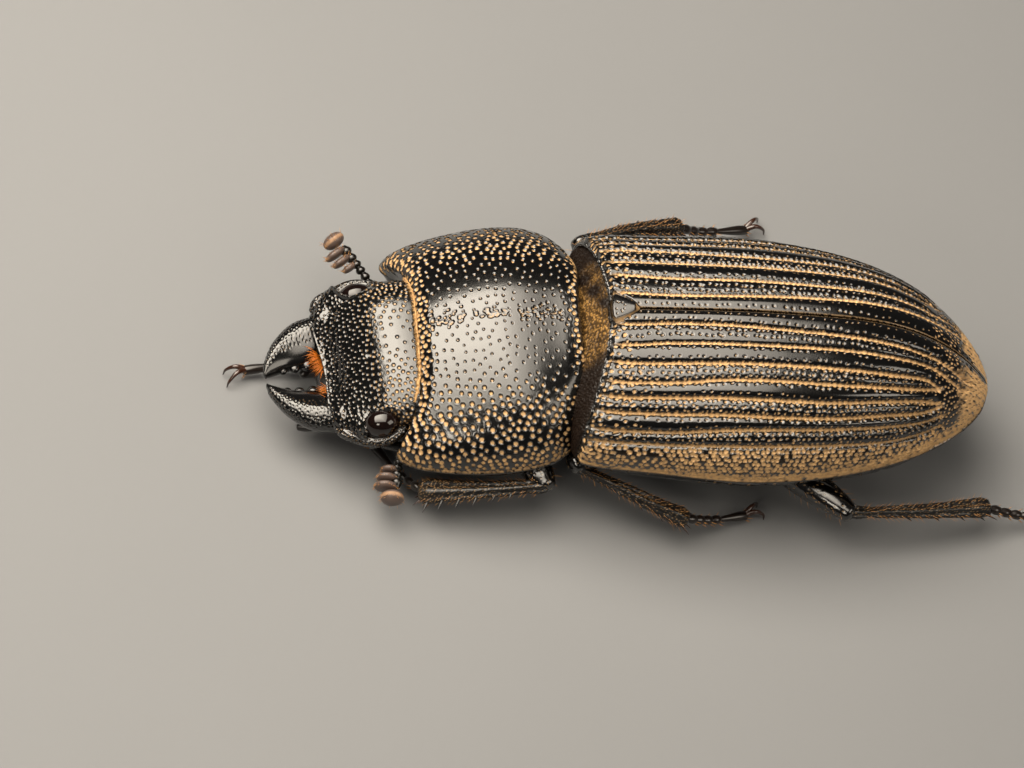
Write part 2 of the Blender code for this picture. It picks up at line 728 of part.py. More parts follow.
def make_tarsus(name, end, bend, claw_root, material):
    """Foot of four short joints and a long one, with a pair of curved claws on the floor."""
    heading = (bend - end).normalized()
    start = end + heading * (GAP + 0.12 * MM)
    places = bow([start, bend, claw_root], 17)
    radii = []
    for joint in range(4):
        radii += [TARSUS_RADIUS * f for f in (0.72, 0.96, 1.0)]
    radii += [TARSUS_RADIUS * f for f in (0.72, 0.8, 0.9, 1.0, 0.75)]
    item = add_object(name, limb(name, places, radii, 1.0, 8), material)
    forward = Vector((claw_root.x - bend.x, claw_root.y - bend.y, 0.0)).normalized()
    across = Vector((-forward.y, forward.x, 0.0))
    claws = []
    for turn in (-1, 1):
        tip = forward * CLAW_LENGTH + across * turn * 0.34 * MM
        points = [claw_root - forward * 0.08 * MM,
                  claw_root + tip * 0.45 + Vector((0, 0, 0.06)) * MM,
                  claw_root + tip * 0.85 - Vector((0, 0, 0.08)) * MM,
                  claw_root + tip - Vector((0, 0, 0.26)) * MM]
        claws.append(limb("claw", points, [0.14 * MM, 0.13 * MM, 0.09 * MM, 0.05 * MM], 1.0, 6))
    fuse(item, claws)
    flatten_on_floor(item)
    return item


def flatten_on_floor(item):
    """Cut what reaches below the floor, which leaves a small flat to stand on."""
    form = bmesh.new()
    form.from_mesh(item.data)
    everything = form.verts[:] + form.edges[:] + form.faces[:]
    bmesh.ops.bisect_plane(form, geom=everything, dist=WELD, plane_co=(0, 0, FLOOR_CUT),
                           plane_no=(0, 0, -1), clear_outer=True)
    bmesh.ops.translate(form, vec=(0, 0, -FLOOR_CUT), verts=form.verts)
    border = [edge for edge in form.edges if edge.is_boundary]
    bmesh.ops.holes_fill(form, edges=border, sides=0)
    bmesh.ops.recalc_face_normals(form, faces=form.faces)
    form.to_mesh(item.data)
    form.free()


def make_leg(key, places, black, dark, draw):
    hip, knee, end, bend, claw_root = [Vector(place) * MM for place in places]
    side = 1 if key.endswith("right") else -1
    coxa = make_coxa("coxa_" + key, hip, knee, dark)
    femur = make_femur("femur_" + key, hip, knee, black)
    tibia = make_tibia("tibia_" + key, knee, end, side, key.startswith("front"), draw, black)
    tarsus = make_tarsus("tarsus_" + key, end, bend, claw_root, dark)
    seat(coxa, femur)
    seat(femur, tibia)
    seat(tibia, tarsus)
    return coxa, femur, tibia, tarsus


def make_frame(name, place, turn, parent):
    """Empty that carries the pieces that turn together."""
    item = bpy.data.objects.new(name, None)
    beetle.objects.link(item)
    item.location = place
    item.rotation_euler = turn
    item.parent = parent
    return item


def bottom_centre():
    bpy.context.view_layer.update()
    corners = [item.matrix_world @ vert.co for item in beetle.objects if item.type == "MESH"
               for vert in item.data.vertices]
    low = Vector([min(corner[axis] for corner in corners) for axis in range(3)])
    high = Vector([max(corner[axis] for corner in corners) for axis in range(3)])
    return Vector(((low.x + high.x) / 2, (low.y + high.y) / 2, low.z))


def build():
    clear_scene()
    draw = random.Random(SEED)
    black = make_material("black_shell", BLACK, 0.25, 0.5)
    dark = make_material("dark_joint", BLACK_BROWN, 0.35)
    gold = make_material("golden_waist", GOLD_BROWN, 0.6)
    club = make_material("club", CLUB_BROWN, 0.6)
    eye = make_material("eye", EYE_BROWN, 0.1, 1.0)

    body = make_frame("body", Vector(), (0.0, 0.0, 0.0), None)
    front = make_frame("front", PROTHORAX_PLACE, PROTHORAX_TURN, body)
    face = make_frame("face", HEAD_PLACE, HEAD_TURN, body)

    elytra = [make_elytron("elytron_left", -1, black), make_elytron("elytron_right", 1, black)]
    thorax = make_pterothorax(black)
    abdomen = make_abdomen(black)
    scutellum = make_scutellum(black)
    waist = make_mesonotum(gold)
    prothorax = make_prothorax(front, black)
    head = make_head(face, black)
    eyes = [make_eye("eye_left", -1, face, eye), make_eye("eye_right", 1, face, eye)]
    jaws = [make_mandible("mandible_left", -1, face, black),
            make_mandible("mandible_right", 1, face, black)]
    feelers = [make_antenna("left", -1, face, black, club),
               make_antenna("right", 1, face, black, club)]
    palps = [make_palp("maxillary_palp_left", -1, False, face, dark),
             make_palp("maxillary_palp_right", 1, False, face, dark),
             make_palp("labial_palp_left", -1, True, face, dark),
             make_palp("labial_palp_right", 1, True, face, dark)]
    legs = {key: make_leg(key, places, black, dark, draw) for key, places in LEGS.items()}

    for elytron in elytra:
        seat(elytron, scutellum)
    seat(thorax, scutellum)
    seat(waist, prothorax, thorax)
    for scape, stalk, plates in feelers:
        seat(head, scape)
    seat(head, *eyes, *jaws, *palps)
    seat(prothorax, head, *eyes)
    for scape, stalk, plates in feelers:
        seat(prothorax, scape, stalk)
    for key, (coxa, femur, tibia, tarsus) in legs.items():
        host = prothorax if key.startswith("front") else thorax
        seat(host, coxa, femur)
        if key.startswith("hind"):
            seat(abdomen, coxa, femur)

    for item in list(beetle.objects):
        if item.type == "MESH" and item.parent is None:
            item.parent = body
    body.location = -bottom_centre()


build()
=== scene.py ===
"""Looks of a small black stag beetle: pitted shell plates, wing cases with tan beaded grooves,
feelers with plate clubs, bristly legs, orange mouth brushes, a pale floor and soft light.

Shapes are worked out in millimetres in the body's, the shield's or the head's own frame and are
then put in the row frame, in metres. In the body's frame x = 0 is the tip of the wing cases,
-x is towards the head, +y is the beetle's right and z = 0 the floor.
"""
import math

import bpy
import numpy as np
from mathutils import Euler, Matrix, Vector


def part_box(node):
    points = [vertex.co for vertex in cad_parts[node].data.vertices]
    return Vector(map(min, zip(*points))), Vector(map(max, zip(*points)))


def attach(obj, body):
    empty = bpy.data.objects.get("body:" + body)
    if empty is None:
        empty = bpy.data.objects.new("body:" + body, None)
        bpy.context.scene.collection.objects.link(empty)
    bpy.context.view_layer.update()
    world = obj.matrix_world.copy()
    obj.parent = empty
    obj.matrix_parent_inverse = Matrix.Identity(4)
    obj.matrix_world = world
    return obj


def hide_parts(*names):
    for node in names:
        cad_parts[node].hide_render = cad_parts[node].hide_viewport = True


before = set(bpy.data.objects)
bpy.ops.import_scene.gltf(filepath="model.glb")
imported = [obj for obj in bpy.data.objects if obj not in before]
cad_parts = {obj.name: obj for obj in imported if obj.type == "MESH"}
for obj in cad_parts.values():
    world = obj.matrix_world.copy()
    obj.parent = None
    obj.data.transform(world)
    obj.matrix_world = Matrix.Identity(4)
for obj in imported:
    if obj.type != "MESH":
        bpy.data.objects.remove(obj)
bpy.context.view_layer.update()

MM = 0.001

# How meshes are made: points closer than the gap become one, and each hair has so many rings
MERGE_GAP = 0.0015
HAIR_RINGS = 3

# How pits are pressed: how far a pit's edge is from its centre in radii, the most rows or columns
# that it may reach, and the cells in which its neighbours are looked up
PIT_EDGE = 1.05
WIDEST_WINDOW = 40
CELL = 0.25

# Sizes that follow the solids, in mm
MARGIN_Z = 2.4
ELYTRA_LENGTH = 9.84
ELYTRA_HALF_WIDTH = 3.54
ELYTRA_WIDEST = 6.6
ELYTRA_HEIGHT = 2.41
ELYTRA_HIGHEST = 5.0
SEAM_GAP = 0.03
SHOULDER_FORWARD = 0.64
SHOULDER_SPREAD = 3.12
SCUTELLUM_FRONT = -9.86
SCUTELLUM_LENGTH = 0.72
SCUTELLUM_HALF_WIDTH = 0.52
PROTHORAX_LENGTH = 4.12
PROTHORAX_HEIGHT = 1.9
PROTHORAX_DEPTH = 1.45
PROTHORAX_WIDTHS = ((0.0, 2.2), (0.06, 2.7), (0.16, 3.12), (0.32, 3.4), (0.55, 3.46),
                    (0.78, 3.2), (0.92, 2.9), (0.965, 2.74), (0.988, 2.5), (1.0, 2.22))
FRONT_ANGLE_REACH = 0.8
HEAD_LENGTH = 2.95
HEAD_HALF_WIDTH = 2.2

# Roundness of sections: 2 for an ellipse, and squarer above it
BODY_ROUNDNESS = 2.2
BELLY_ROUNDNESS = 2.4
PROTHORAX_ROUNDNESS = 1.95
HEAD_ROUNDNESS = 2.5

# Rows and columns of the pressed plates' tops, and columns of their undersides
CASE_GRID = (400, 214)
SHIELD_GRID = (236, 340, 34)
HEAD_GRID = (240, 300, 40)

# A flat end for a tube-like grid, as (way, steps)
FLAT_END = ((0, 0, 0), ((0.5, 0.0), (0.0, 0.0)))

_, CASE_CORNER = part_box("elytron_left")
BODY = Matrix.Translation((CASE_CORNER.x + 0.04 * MM, CASE_CORNER.y + 0.125 * MM, 0.0))


def turned_frame(place, turn):
    angles = [math.radians(angle) for angle in turn]
    return BODY @ Matrix.Translation(Vector(place) * MM) @ Euler(angles).to_matrix().to_4x4()


SHIELD = turned_frame((-10.32, 0.31, 2.43), (6.3, -8.2, 3.5))
HEAD = turned_frame((-14.0, 0.06, 2.4), (6.0, -8.2, 9.8))


# Curves and numbers

def smooth(t):
    t = np.clip(t, 0.0, 1.0)
    return t * t * (3.0 - 2.0 * t)


def along(stations, t):
    """Smooth values at t through a short list of (place, value) stations."""
    places, values = np.array(stations, float).T
    after = np.minimum(np.arange(len(places)) + 1, len(places) - 1)
    before = np.maximum(np.arange(len(places)) - 1, 0)
    slopes = (values[after] - values[before]) / (places[after] - places[before])
    t = np.asarray(t, float)
    span = np.clip(np.searchsorted(places, t) - 1, 0, len(places) - 2)
    width = places[span + 1] - places[span]
    u = np.clip((t - places[span]) / width, 0.0, 1.0)
    rise = u * u * (3.0 - 2.0 * u)
    return (values[span] + (values[span + 1] - values[span]) * rise
            + width * u * (1 - u) * (slopes[span] * (1 - u) - slopes[span + 1] * u))


def bow(points, count):
    """Points on a smooth curve through the given ones."""
    points = np.asarray(points, float)
    ends = np.vstack([2 * points[0] - points[1], points, 2 * points[-1] - points[-2]])
    place = np.linspace(0.0, len(points) - 1.0, count)
    span = np.minimum(place.astype(int), len(points) - 2)
    t = (place - span)[:, None]
    a, b, c, d = (ends[span + step] for step in range(4))
    return 0.5 * (2 * b + (c - a) * t + (2 * a - 5 * b + 4 * c - d) * t ** 2
                  + (3 * b - a - 3 * c + d) * t ** 3)


def power(value, exponent):
    return np.sign(value) * np.abs(value) ** exponent


def unit(vectors):
    return vectors / np.maximum(np.linalg.norm(vectors, axis=-1, keepdims=True), 1e-12)


def noise(points, scale, seed):
    """Smooth wavy value between about -1 and 1 at each point."""
    draw = np.random.default_rng(seed)
    total = 0.0
    for _ in range(6):
        way = unit(draw.normal(size=3)) * scale * draw.uniform(0.7, 1.5)
        total = total + np.sin(points @ way + draw.uniform(0, 6.3))
    return total / 3.0


def hill(*away):
    """Rounded bump: 1 where all the distances are 0, falling off within about 1 of them."""
    return np.exp(-sum(distance ** 2 for distance in away))


def run_along(line):
    """Distance run at each point of a line."""
    return np.concatenate([[0], np.cumsum(np.linalg.norm(np.diff(line, axis=0), axis=1))])


def points_at(places, own_places, line):
    """Points of a line at other places along it than its own."""
    return np.stack([np.interp(places, own_places, line[:, k]) for k in range(3)], 1)


def full_turn(around):
    """Angles once round a ring, from its lowest point back to it."""
    return np.linspace(-np.pi / 2, 1.5 * np.pi, around + 1)


def rounded_section(turn, roundness, width, height, depth):
    """Across and up parts of a rounded section, at a turn round it that is 0 at its crown."""
    y = width * power(np.sin(turn), 2 / roundness)
    z = power(np.cos(turn), 2 / roundness)
    return y, np.where(z > 0, z * height, z * depth)


def even_turns(section, ts, fine, columns):
    """Turns at even steps over a skin at each t along it, and the run over it to each."""
    turns, runs = np.empty((2, len(ts), columns))
    for index, t in enumerate(ts):
        run = run_along(section(np.full(fine.shape, t), fine))
        runs[index] = np.linspace(0, run[-1], columns)
        turns[index] = np.interp(runs[index], run, fine)
    return turns, runs


def over_skin(section, ts, turns):
    """Points of a skin at each t along it, with one line of turns or one for each t."""
    grid_t, turns = np.broadcast_arrays(ts[:, None], turns)
    return section(grid_t, turns)


# Making meshes

def deselect():
    if bpy.context.mode != "OBJECT":
        bpy.ops.object.mode_set(mode="OBJECT")
    bpy.ops.object.select_all(action="DESELECT")


def to_row(points, place):
    """Row-frame metres of points in millimetres in one of the frames."""
    turn = np.array(place.to_3x3())
    return (points.reshape(-1, 3) * MM) @ turn.T + np.array(place.translation)


def grid_piece(name, points, place, marks=None):
    """Closed piece whose skin is a grid of points, rows by columns, made from a grid primitive."""
    rows, columns = points.shape[:2]
    deselect()
    bpy.ops.mesh.primitive_grid_add(x_subdivisions=columns - 1, y_subdivisions=rows - 1, size=2.0)
    item = bpy.context.object
    item.name = item.data.name = name
    flat = np.empty(rows * columns * 3)
    item.data.vertices.foreach_get("co", flat)
    flat = flat.reshape(-1, 3)
    column = np.rint((flat[:, 0] + 1) / 2 * (columns - 1)).astype(int)
    row = np.rint((flat[:, 1] + 1) / 2 * (rows - 1)).astype(int)
    world = to_row(points, place).reshape(rows, columns, 3)
    item.data.vertices.foreach_set("co", world[row, column].ravel())
    for uv in list(item.data.uv_layers):
        item.data.uv_layers.remove(uv)
    for key, values in (marks or {}).items():
        layer = item.data.attributes.new(key, "FLOAT", "POINT")
        layer.data.foreach_set("value", values[row, column].astype(np.float32).ravel())
    item.data.update()
    close_up()
    item.data.shade_smooth()
    return item


def close_up():
    """Merge the new grid's meeting edges, fill its ends and turn its faces outwards."""
    bpy.ops.object.mode_set(mode="EDIT")
    bpy.ops.mesh.select_mode(type="VERT")
    bpy.ops.mesh.select_all(action="SELECT")
    bpy.ops.mesh.remove_doubles(threshold=MERGE_GAP * MM)
    bpy.ops.mesh.select_all(action="SELECT")
    bpy.ops.mesh.fill_holes(sides=0)
    bpy.ops.mesh.select_all(action="SELECT")
    bpy.ops.mesh.normals_make_consistent(inside=False)
    bpy.ops.object.mode_set(mode="OBJECT")


def join(name, items):
    """One piece from several."""
    deselect()
    for item in items:
        item.select_set(True)
    bpy.context.view_layer.objects.active = items[0]
    bpy.ops.object.join()
    item = bpy.context.object
    item.name = item.data.name = name
    return item


def tube(path, radii, around, flat=1.0):
    """Grid of points round a path: a row for each path point, its last column on its first."""
    heading = unit(np.gradient(path, axis=0))
    across = unit(np.cross(heading, (0.0, 0.0, 1.0)))
    over = unit(np.cross(across, heading))
    path, radii, across, over = round_off(path, radii, heading, across, over)
    turn = full_turn(around)
    turn[-1] = turn[0]
    ring = (np.cos(turn)[None, :, None] * across[:, None] * flat
            + np.sin(turn)[None, :, None] * over[:, None])
    return path[:, None] + ring * radii[:, None, None]


def round_off(path, radii, heading, across, over):
    """Add half-round ends to a tube's path."""
    turns = np.radians([90, 75, 55, 35, 15])
    head_path = path[0] - heading[0] * (np.sin(turns) * radii[0] * 0.6)[:, None]
    tail_path = path[-1] + heading[-1] * (np.sin(turns[::-1]) * radii[-1] * 0.6)[:, None]
    path = np.vstack([head_path, path, tail_path])
    radii = np.concatenate([np.cos(turns) * radii[0], radii, np.cos(turns[::-1]) * radii[-1]])
    radii[0] = radii[-1] = 0.0
    across, over = (np.pad(way, ((len(turns), len(turns)), (0, 0)), "edge")
                    for way in (across, over))
    return path, radii, across, over


def tube_piece(name, path, radii, place, around, lumps=0.0):
    """Piece round a path, its skin roughened by lumps."""
    grid = tube(path, radii, around)
    if lumps:
        centre = grid.mean(axis=1, keepdims=True)
        grid = grid + unit(grid - centre) * (noise(grid, 22.0, 1) * lumps)[..., None]
        grid[:, -1] = grid[:, 0]
    return grid_piece(name, grid, place)


def domed(ring, way, steps):
    """Rows that close an open end, each at a part of the ring's size and a distance along way."""
    centre = ring.mean(axis=0)
    return np.stack([centre + (ring - centre) * size + np.asarray(way, float) * far
                     for size, far in steps])


def capped(grid, first, last):
    """Tube-like grid with both its ends closed, each by (way, steps) as in domed."""
    return np.concatenate([domed(grid[0], *first)[::-1], grid, domed(grid[-1], *last)], 0)


def fitted(marks, grid, before):
    """Marks with zeros added for the rows and columns that their grid has gained."""
    rows, columns = marks.shape
    return np.pad(marks, ((before, len(grid) - rows - before), (0, grid.shape[1] - columns)))


def hairs(name, roots, aims, lengths, radius, place, bend=(0, 0, 0)):
    """Many tapered hairs as one mesh. Each is a bent spike of a few rings."""
    roots, aims, bend = np.asarray(roots), unit(np.asarray(aims)), np.asarray(bend)
    side = unit(np.cross(aims, aims[:, [1, 2, 0]] + 0.3))
    over = np.cross(aims, side)
    rings = []
    for step in range(HAIR_RINGS):
        t = step / HAIR_RINGS
        centre = roots + aims * (t * lengths)[:, None] + bend * ((t ** 2) * lengths)[:, None]
        for turn in (0.0, 2.1, 4.2):
            rings.append(centre + (math.cos(turn) * side + math.sin(turn) * over)
                         * (radius * (1.0 - 0.75 * t)))
    rings.append(roots + aims * lengths[:, None] + bend * lengths[:, None])
    points = np.stack(rings, 1)
    count = points.shape[1]
    faces = [(0, 2, 1)]
    for step in range(HAIR_RINGS - 1):
        for k in range(3):
            a, b = 3 * step + k, 3 * step + (k + 1) % 3
            faces += [(a, b, b + 3), (a, b + 3, a + 3)]
    last = 3 * (HAIR_RINGS - 1)
    faces += [(last + k, last + (k + 1) % 3, count - 1) for k in range(3)]
    faces = (np.arange(len(roots)) * count)[:, None, None] + np.array(faces)
    mesh = bpy.data.meshes.new(name)
    mesh.from_pydata(to_row(points, place).tolist(), [], faces.reshape(-1, 3).tolist())
    mesh.shade_smooth()
    item = bpy.data.objects.new(name, mesh)
    bpy.context.scene.collection.objects.link(item)
    return item


# Pits and grooves pressed into a plate

class Plate:
    """Grid of points with a height and a tan filling at each, pressed into it pit by pit."""

    def __init__(self, points, outward):
        self.points = points
        down, right = np.gradient(points, axis=0), np.gradient(points, axis=1)
        normal = unit(np.cross(down, right))
        flip = np.sign((normal * outward).sum(-1, keepdims=True))
        self.normal = normal * np.where(flip == 0, 1.0, flip)
        self.height, self.level, self.fill = (np.zeros(points.shape[:2]) for _ in range(3))
        self.row_step = np.maximum(np.linalg.norm(down, axis=-1), 1e-4)
        self.column_step = np.maximum(np.linalg.norm(right, axis=-1), 1e-4)

    def pit(self, row, column, radius, depth, tan, core=0.8, stretch=1.0):
        """One round pit: a steep wall and a flat floor, with tan filling out to core of it."""
        rows, columns = self.height.shape
        r, c = int(row), int(column)
        if not (0 <= r < rows and 0 <= c < columns):
            return
        window = self.window(r, c, radius * 1.5 * max(stretch, 1.0))
        away = self.points[window] - self.point(row, column)
        if stretch != 1.0:
            away = away * np.array([1.0 / stretch, 1.0, 1.0])
        d = np.sqrt((away ** 2).sum(-1)) / radius
        wall = smooth((PIT_EDGE - d) / 0.5)
        old = self.height[window]
        base = float(self.level[r, c])
        if depth > 0:
            heap = 0.25 * depth * smooth((core - d) / 0.3) * min(tan, 1.0)
            floor = np.minimum(old, base - depth * wall + heap)
            rim = depth * (0.16 * hill((d - 1.2) / 0.18)) * (old > base - 0.3 * depth)
            self.height[window] = np.where(d < PIT_EDGE, floor, old + rim)
        else:
            self.height[window] = np.maximum(old, base - depth * wall)
        self.fill[window] = np.maximum(self.fill[window], tan * smooth((core - d) / 0.2))

    def window(self, r, c, reach):
        """Part of the grid within reach of a point."""
        rows, columns = self.height.shape
        dr = min(int(reach / self.row_step[r, c]) + 1, WIDEST_WINDOW)
        dc = min(int(reach / self.column_step[r, c]) + 1, WIDEST_WINDOW)
        return (slice(max(r - dr, 0), min(r + dr + 1, rows)),
                slice(max(c - dc, 0), min(c + dc + 1, columns)))

    def point(self, row, column):
        """Place on the grid between its points."""
        r, c = int(row), int(column)
        fr, fc = row - r, column - c
        r2, c2 = min(r + 1, self.height.shape[0] - 1), min(c + 1, self.height.shape[1] - 1)
        return (self.points[r, c] * (1 - fr) * (1 - fc) + self.points[r2, c] * fr * (1 - fc)
                + self.points[r, c2] * (1 - fr) * fc + self.points[r2, c2] * fr * fc)

    def settle(self):
        """Take the height so far as the level that pits are pressed from."""
        self.level = self.height.copy()

    def shaped(self, closed=False):
        """Points with their heights; closed puts a tube-like grid's last column on its first."""
        points = self.points + self.normal * self.height[..., None]
        if closed:
            points[:, -1] = points[:, 0]
        return points


def round_plate(grid):
    """Plate of a tube-like grid."""
    return Plate(grid, grid - grid.mean(axis=1, keepdims=True))


def scatter(count, area, gap, seed):
    """Random places in a rectangle, kept apart by a gap that varies over it."""
    draw = np.random.default_rng(seed)
    (x0, x1), (y0, y1) = area
    kept, cells = [], {}
    for x, y in draw.uniform((x0, y0), (x1, y1), (count, 2)):
        space = gap(x, y)
        if space is None:
            continue
        key = (int(x // CELL), int(y // CELL))
        near = [p for i in (-1, 0, 1) for j in (-1, 0, 1)
                for p in cells.get((key[0] + i, key[1] + j), ())]
        if all((x - px) ** 2 + (y - py) ** 2 > space * space for px, py in near):
            cells.setdefault(key, []).append((x, y))
            kept.append((x, y))
    return kept


def strew(plate, allowed, gap, tries, seed):
    """Random places on a plate, kept apart by a gap that varies over its surface."""
    draw = np.random.default_rng(seed)
    chance = (plate.row_step * plate.column_step * allowed).ravel()
    kept, cells = [], {}
    ways = [(i, j, k) for i in (-1, 0, 1) for j in (-1, 0, 1) for k in (-1, 0, 1)]
    for index in draw.choice(chance.size, tries, p=chance / chance.sum()):
        row, column = divmod(int(index), plate.height.shape[1])
        x, y, z = plate.points[row, column]
        space = gap(x, y, z) ** 2
        a, b, c = int(x // CELL), int(y // CELL), int(z // CELL)
        if all((x - p) ** 2 + (y - q) ** 2 + (z - r) ** 2 > space
               for i, j, k in ways for p, q, r in cells.get((a + i, b + j, c + k), ())):
            cells.setdefault((a, b, c), []).append((x, y, z))
            kept.append((row, column, x, y))
    return kept


# Wing cases

# Places along the seam, the angle of each groove at them, and where each groove ends
STRIA_STATIONS = (-9.6, -8.3, -6.9, -5.5, -4.1, -2.8, -1.9, -1.5, -1.15, -0.8)
STRIA_DEGREES = ((6.6, 5.5, 5.6, 6.6, 7.9, 9.9, 11.9, 13.5, 16.5, 21.0),
                 (16.8, 14.6, 14.0, 14.2, 15.2, 17.3, 19.1, 21.7, 27.0, 33.0),
                 (25.5, 24.3, 22.9, 23.0, 24.8, 27.6, 29.0, 33.6, 34.4, 34.4),
                 (35.5, 33.8, 30.8, 30.8, 33.1, 35.2, 35.9, 34.8, 34.4, 34.4),
                 (43.5, 41.5, 39.7, 40.4, 42.5, 43.5, 44.4, 46.5, 48.0, 48.0),
                 (52.0, 50.3, 48.4, 49.1, 51.0, 52.0, 52.8, 49.8, 48.0, 48.0),
                 (62.9, 60.8, 56.7, 55.8, 57.3, 59.5, 60.3, 58.5, 56.0, 54.0),
                 (70.9, 68.9, 66.2, 65.7, 67.5, 70.3, 69.9, 68.0, 66.0, 66.0))
STRIA_ENDS = (-0.5, -0.7, -1.45, -1.45, -1.42, -1.42, -1.3, -1.35)

# Depth of the grooves and ridges of the left (-1) and right (1) wing case
GROOVE_RELIEF = {-1: 1.0, 1: 0.55}


def elytra_half_width(x):
    from_tip = np.clip(-x, 0.0, ELYTRA_WIDEST) / ELYTRA_WIDEST
    rounded = ELYTRA_HALF_WIDTH * (1.0 - (1.0 - from_tip) ** 1.8) ** 0.53
    narrowing = smooth((-x - ELYTRA_WIDEST) / 3.2)
    corner = np.maximum(-x - 9.1, 0.0) / 0.74
    return rounded * (1.0 - 0.045 * narrowing) * (1.0 - 0.05 * corner * corner)


def elytra_height(x):
    from_tip = np.clip(-x, 0.0, ELYTRA_HIGHEST) / ELYTRA_HIGHEST
    rounded = ELYTRA_HEIGHT * (1.0 - (1.0 - from_tip) ** 3) ** 0.9
    return rounded * (1.0 - 0.127 * smooth((-x - 5.5) / 5.5))


def elytron_surface(x, degrees, side, inset=0.0):
    """Points on a wing case's outer face, or on its inner face with an inset."""
    width = np.maximum(elytra_half_width(x) - inset, 0.3 * elytra_half_width(x))
    height = np.maximum(elytra_height(x) - inset, 0.02)
    y, z = rounded_section(np.radians(degrees), BODY_ROUNDNESS, width - SEAM_GAP, height, height)
    curve = 1.5 if side > 0 else 2.0
    lead = SHOULDER_FORWARD * (y / SHOULDER_SPREAD) ** curve * smooth((-x - 8.0) / 1.84)
    return np.stack([x - lead, side * (SEAM_GAP + y), MARGIN_Z + z], -1)


def elytron_rows(count):
    """Places along the seam, evenly spaced over the surface."""
    x = -0.015 - (ELYTRA_LENGTH - 0.015) * np.linspace(0, 1, 3000) ** 1.6
    run = run_along(elytron_surface(x, np.full(x.shape, 45.0), 1))
    return np.interp(np.linspace(0, run[-1], count), run, x)


def elytron_columns(xs, side, count):
    """Angles at even steps out from the seam, and the runs out to them and to the grooves."""
    fine = np.linspace(0.0, 90.0, 241)
    degrees, spans = np.empty((2, len(xs), count))
    grooves = np.empty((len(STRIA_DEGREES), len(xs)))
    for index, x in enumerate(xs):
        run = run_along(elytron_surface(np.full(fine.shape, x), fine, side))
        spans[index] = np.linspace(0, run[-1], count)
        degrees[index] = np.interp(spans[index], run, fine)
        for k, angles in enumerate(STRIA_DEGREES):
            angle = along(list(zip(STRIA_STATIONS, angles)), x)
            grooves[k, index] = np.interp(angle, fine, run)
    return degrees, spans, grooves


def scutellum_half_width(t):
    return SCUTELLUM_HALF_WIDTH * (1 - t ** 1.35) ** 0.85


def make_elytron(name, side, seed):
    """Wing case: grooves and tan margins, then the pits, the raised rim and both ends."""
    rows, columns = CASE_GRID
    xs = elytron_rows(rows)
    x = xs[:, None]
    degrees, spans, grooves = elytron_columns(xs, side, columns)
    plate = Plate(elytron_surface(np.broadcast_to(x, degrees.shape), degrees, side),
                  np.array([0.0, side * 0.5, 1.0]))
    press_grooves(plate, x, spans, grooves, GROOVE_RELIEF[side])
    rim = smooth((0.07 - (spans[:, -1:] - spans)) / 0.03)
    fill_margins(plate, x, spans, grooves, rim)
    plate.height += 0.012 * smooth((-x - 9.6) / 0.12) * noise(plate.points, 75.0, 6)
    bed = scutellum_half_width(np.clip((x - SCUTELLUM_FRONT) / SCUTELLUM_LENGTH, 0, 1)) + 0.05
    bed = smooth((bed - np.abs(plate.points[..., 1])) / 0.05) * (x < -9.1)
    plate.height -= 0.07 * bed
    plate.settle()
    press_elytron_pits(CasePress(plate, xs, spans, grooves, seed), seed)
    plate.height += 0.035 * rim
    seam = smooth((0.03 - spans) / 0.02) * smooth((-x - 0.2) / 0.2)
    plate.fill = np.maximum(plate.fill * (1 - seam), seam * 0.3)
    plate.fill *= 1 - rim
    plate.height *= smooth((-x - 0.02) / 0.25)
    front = smooth((ELYTRA_LENGTH + x - 0.02) / 0.16)
    plate.height -= 0.12 * (1 - front) ** 2
    return close_elytron(name, plate, xs, degrees, side)


def fill_margins(plate, x, spans, grooves, rim):
    """Tan scales in a band along the outer edge and over the tip, and thinly on the flank."""
    edge = spans[:, -1:] - spans
    grain = 0.5 + 0.5 * noise(plate.points, 45.0, 3)
    wide = 0.18 + 0.14 * smooth((x + 9.0) / 1.2) + 0.18 * smooth((x + 6.0) / 5.0)
    band = smooth((wide - edge) / 0.07) * (1 - rim)
    ragged = noise(plate.points, 5.0, 4) + 0.7 * noise(plate.points, 26.0, 12)
    tip = smooth((1.05 + x + 0.16 * ragged) / 0.3)
    tip = tip * (1 - rim) * smooth((spans - 0.05 - 0.1 * (x < -0.5)) / 0.05)
    solid = np.maximum(band, tip)
    flank = smooth((spans - grooves[-1][:, None] - 0.05) / 0.3) * (1 - rim)
    plate.fill = np.maximum(plate.fill, 0.02 * flank * (0.5 + 0.5 * grain))
    plate.fill = np.maximum(plate.fill, solid * smooth(0.35 + 1.2 * grain))
    plate.height -= 0.012 * solid * grain


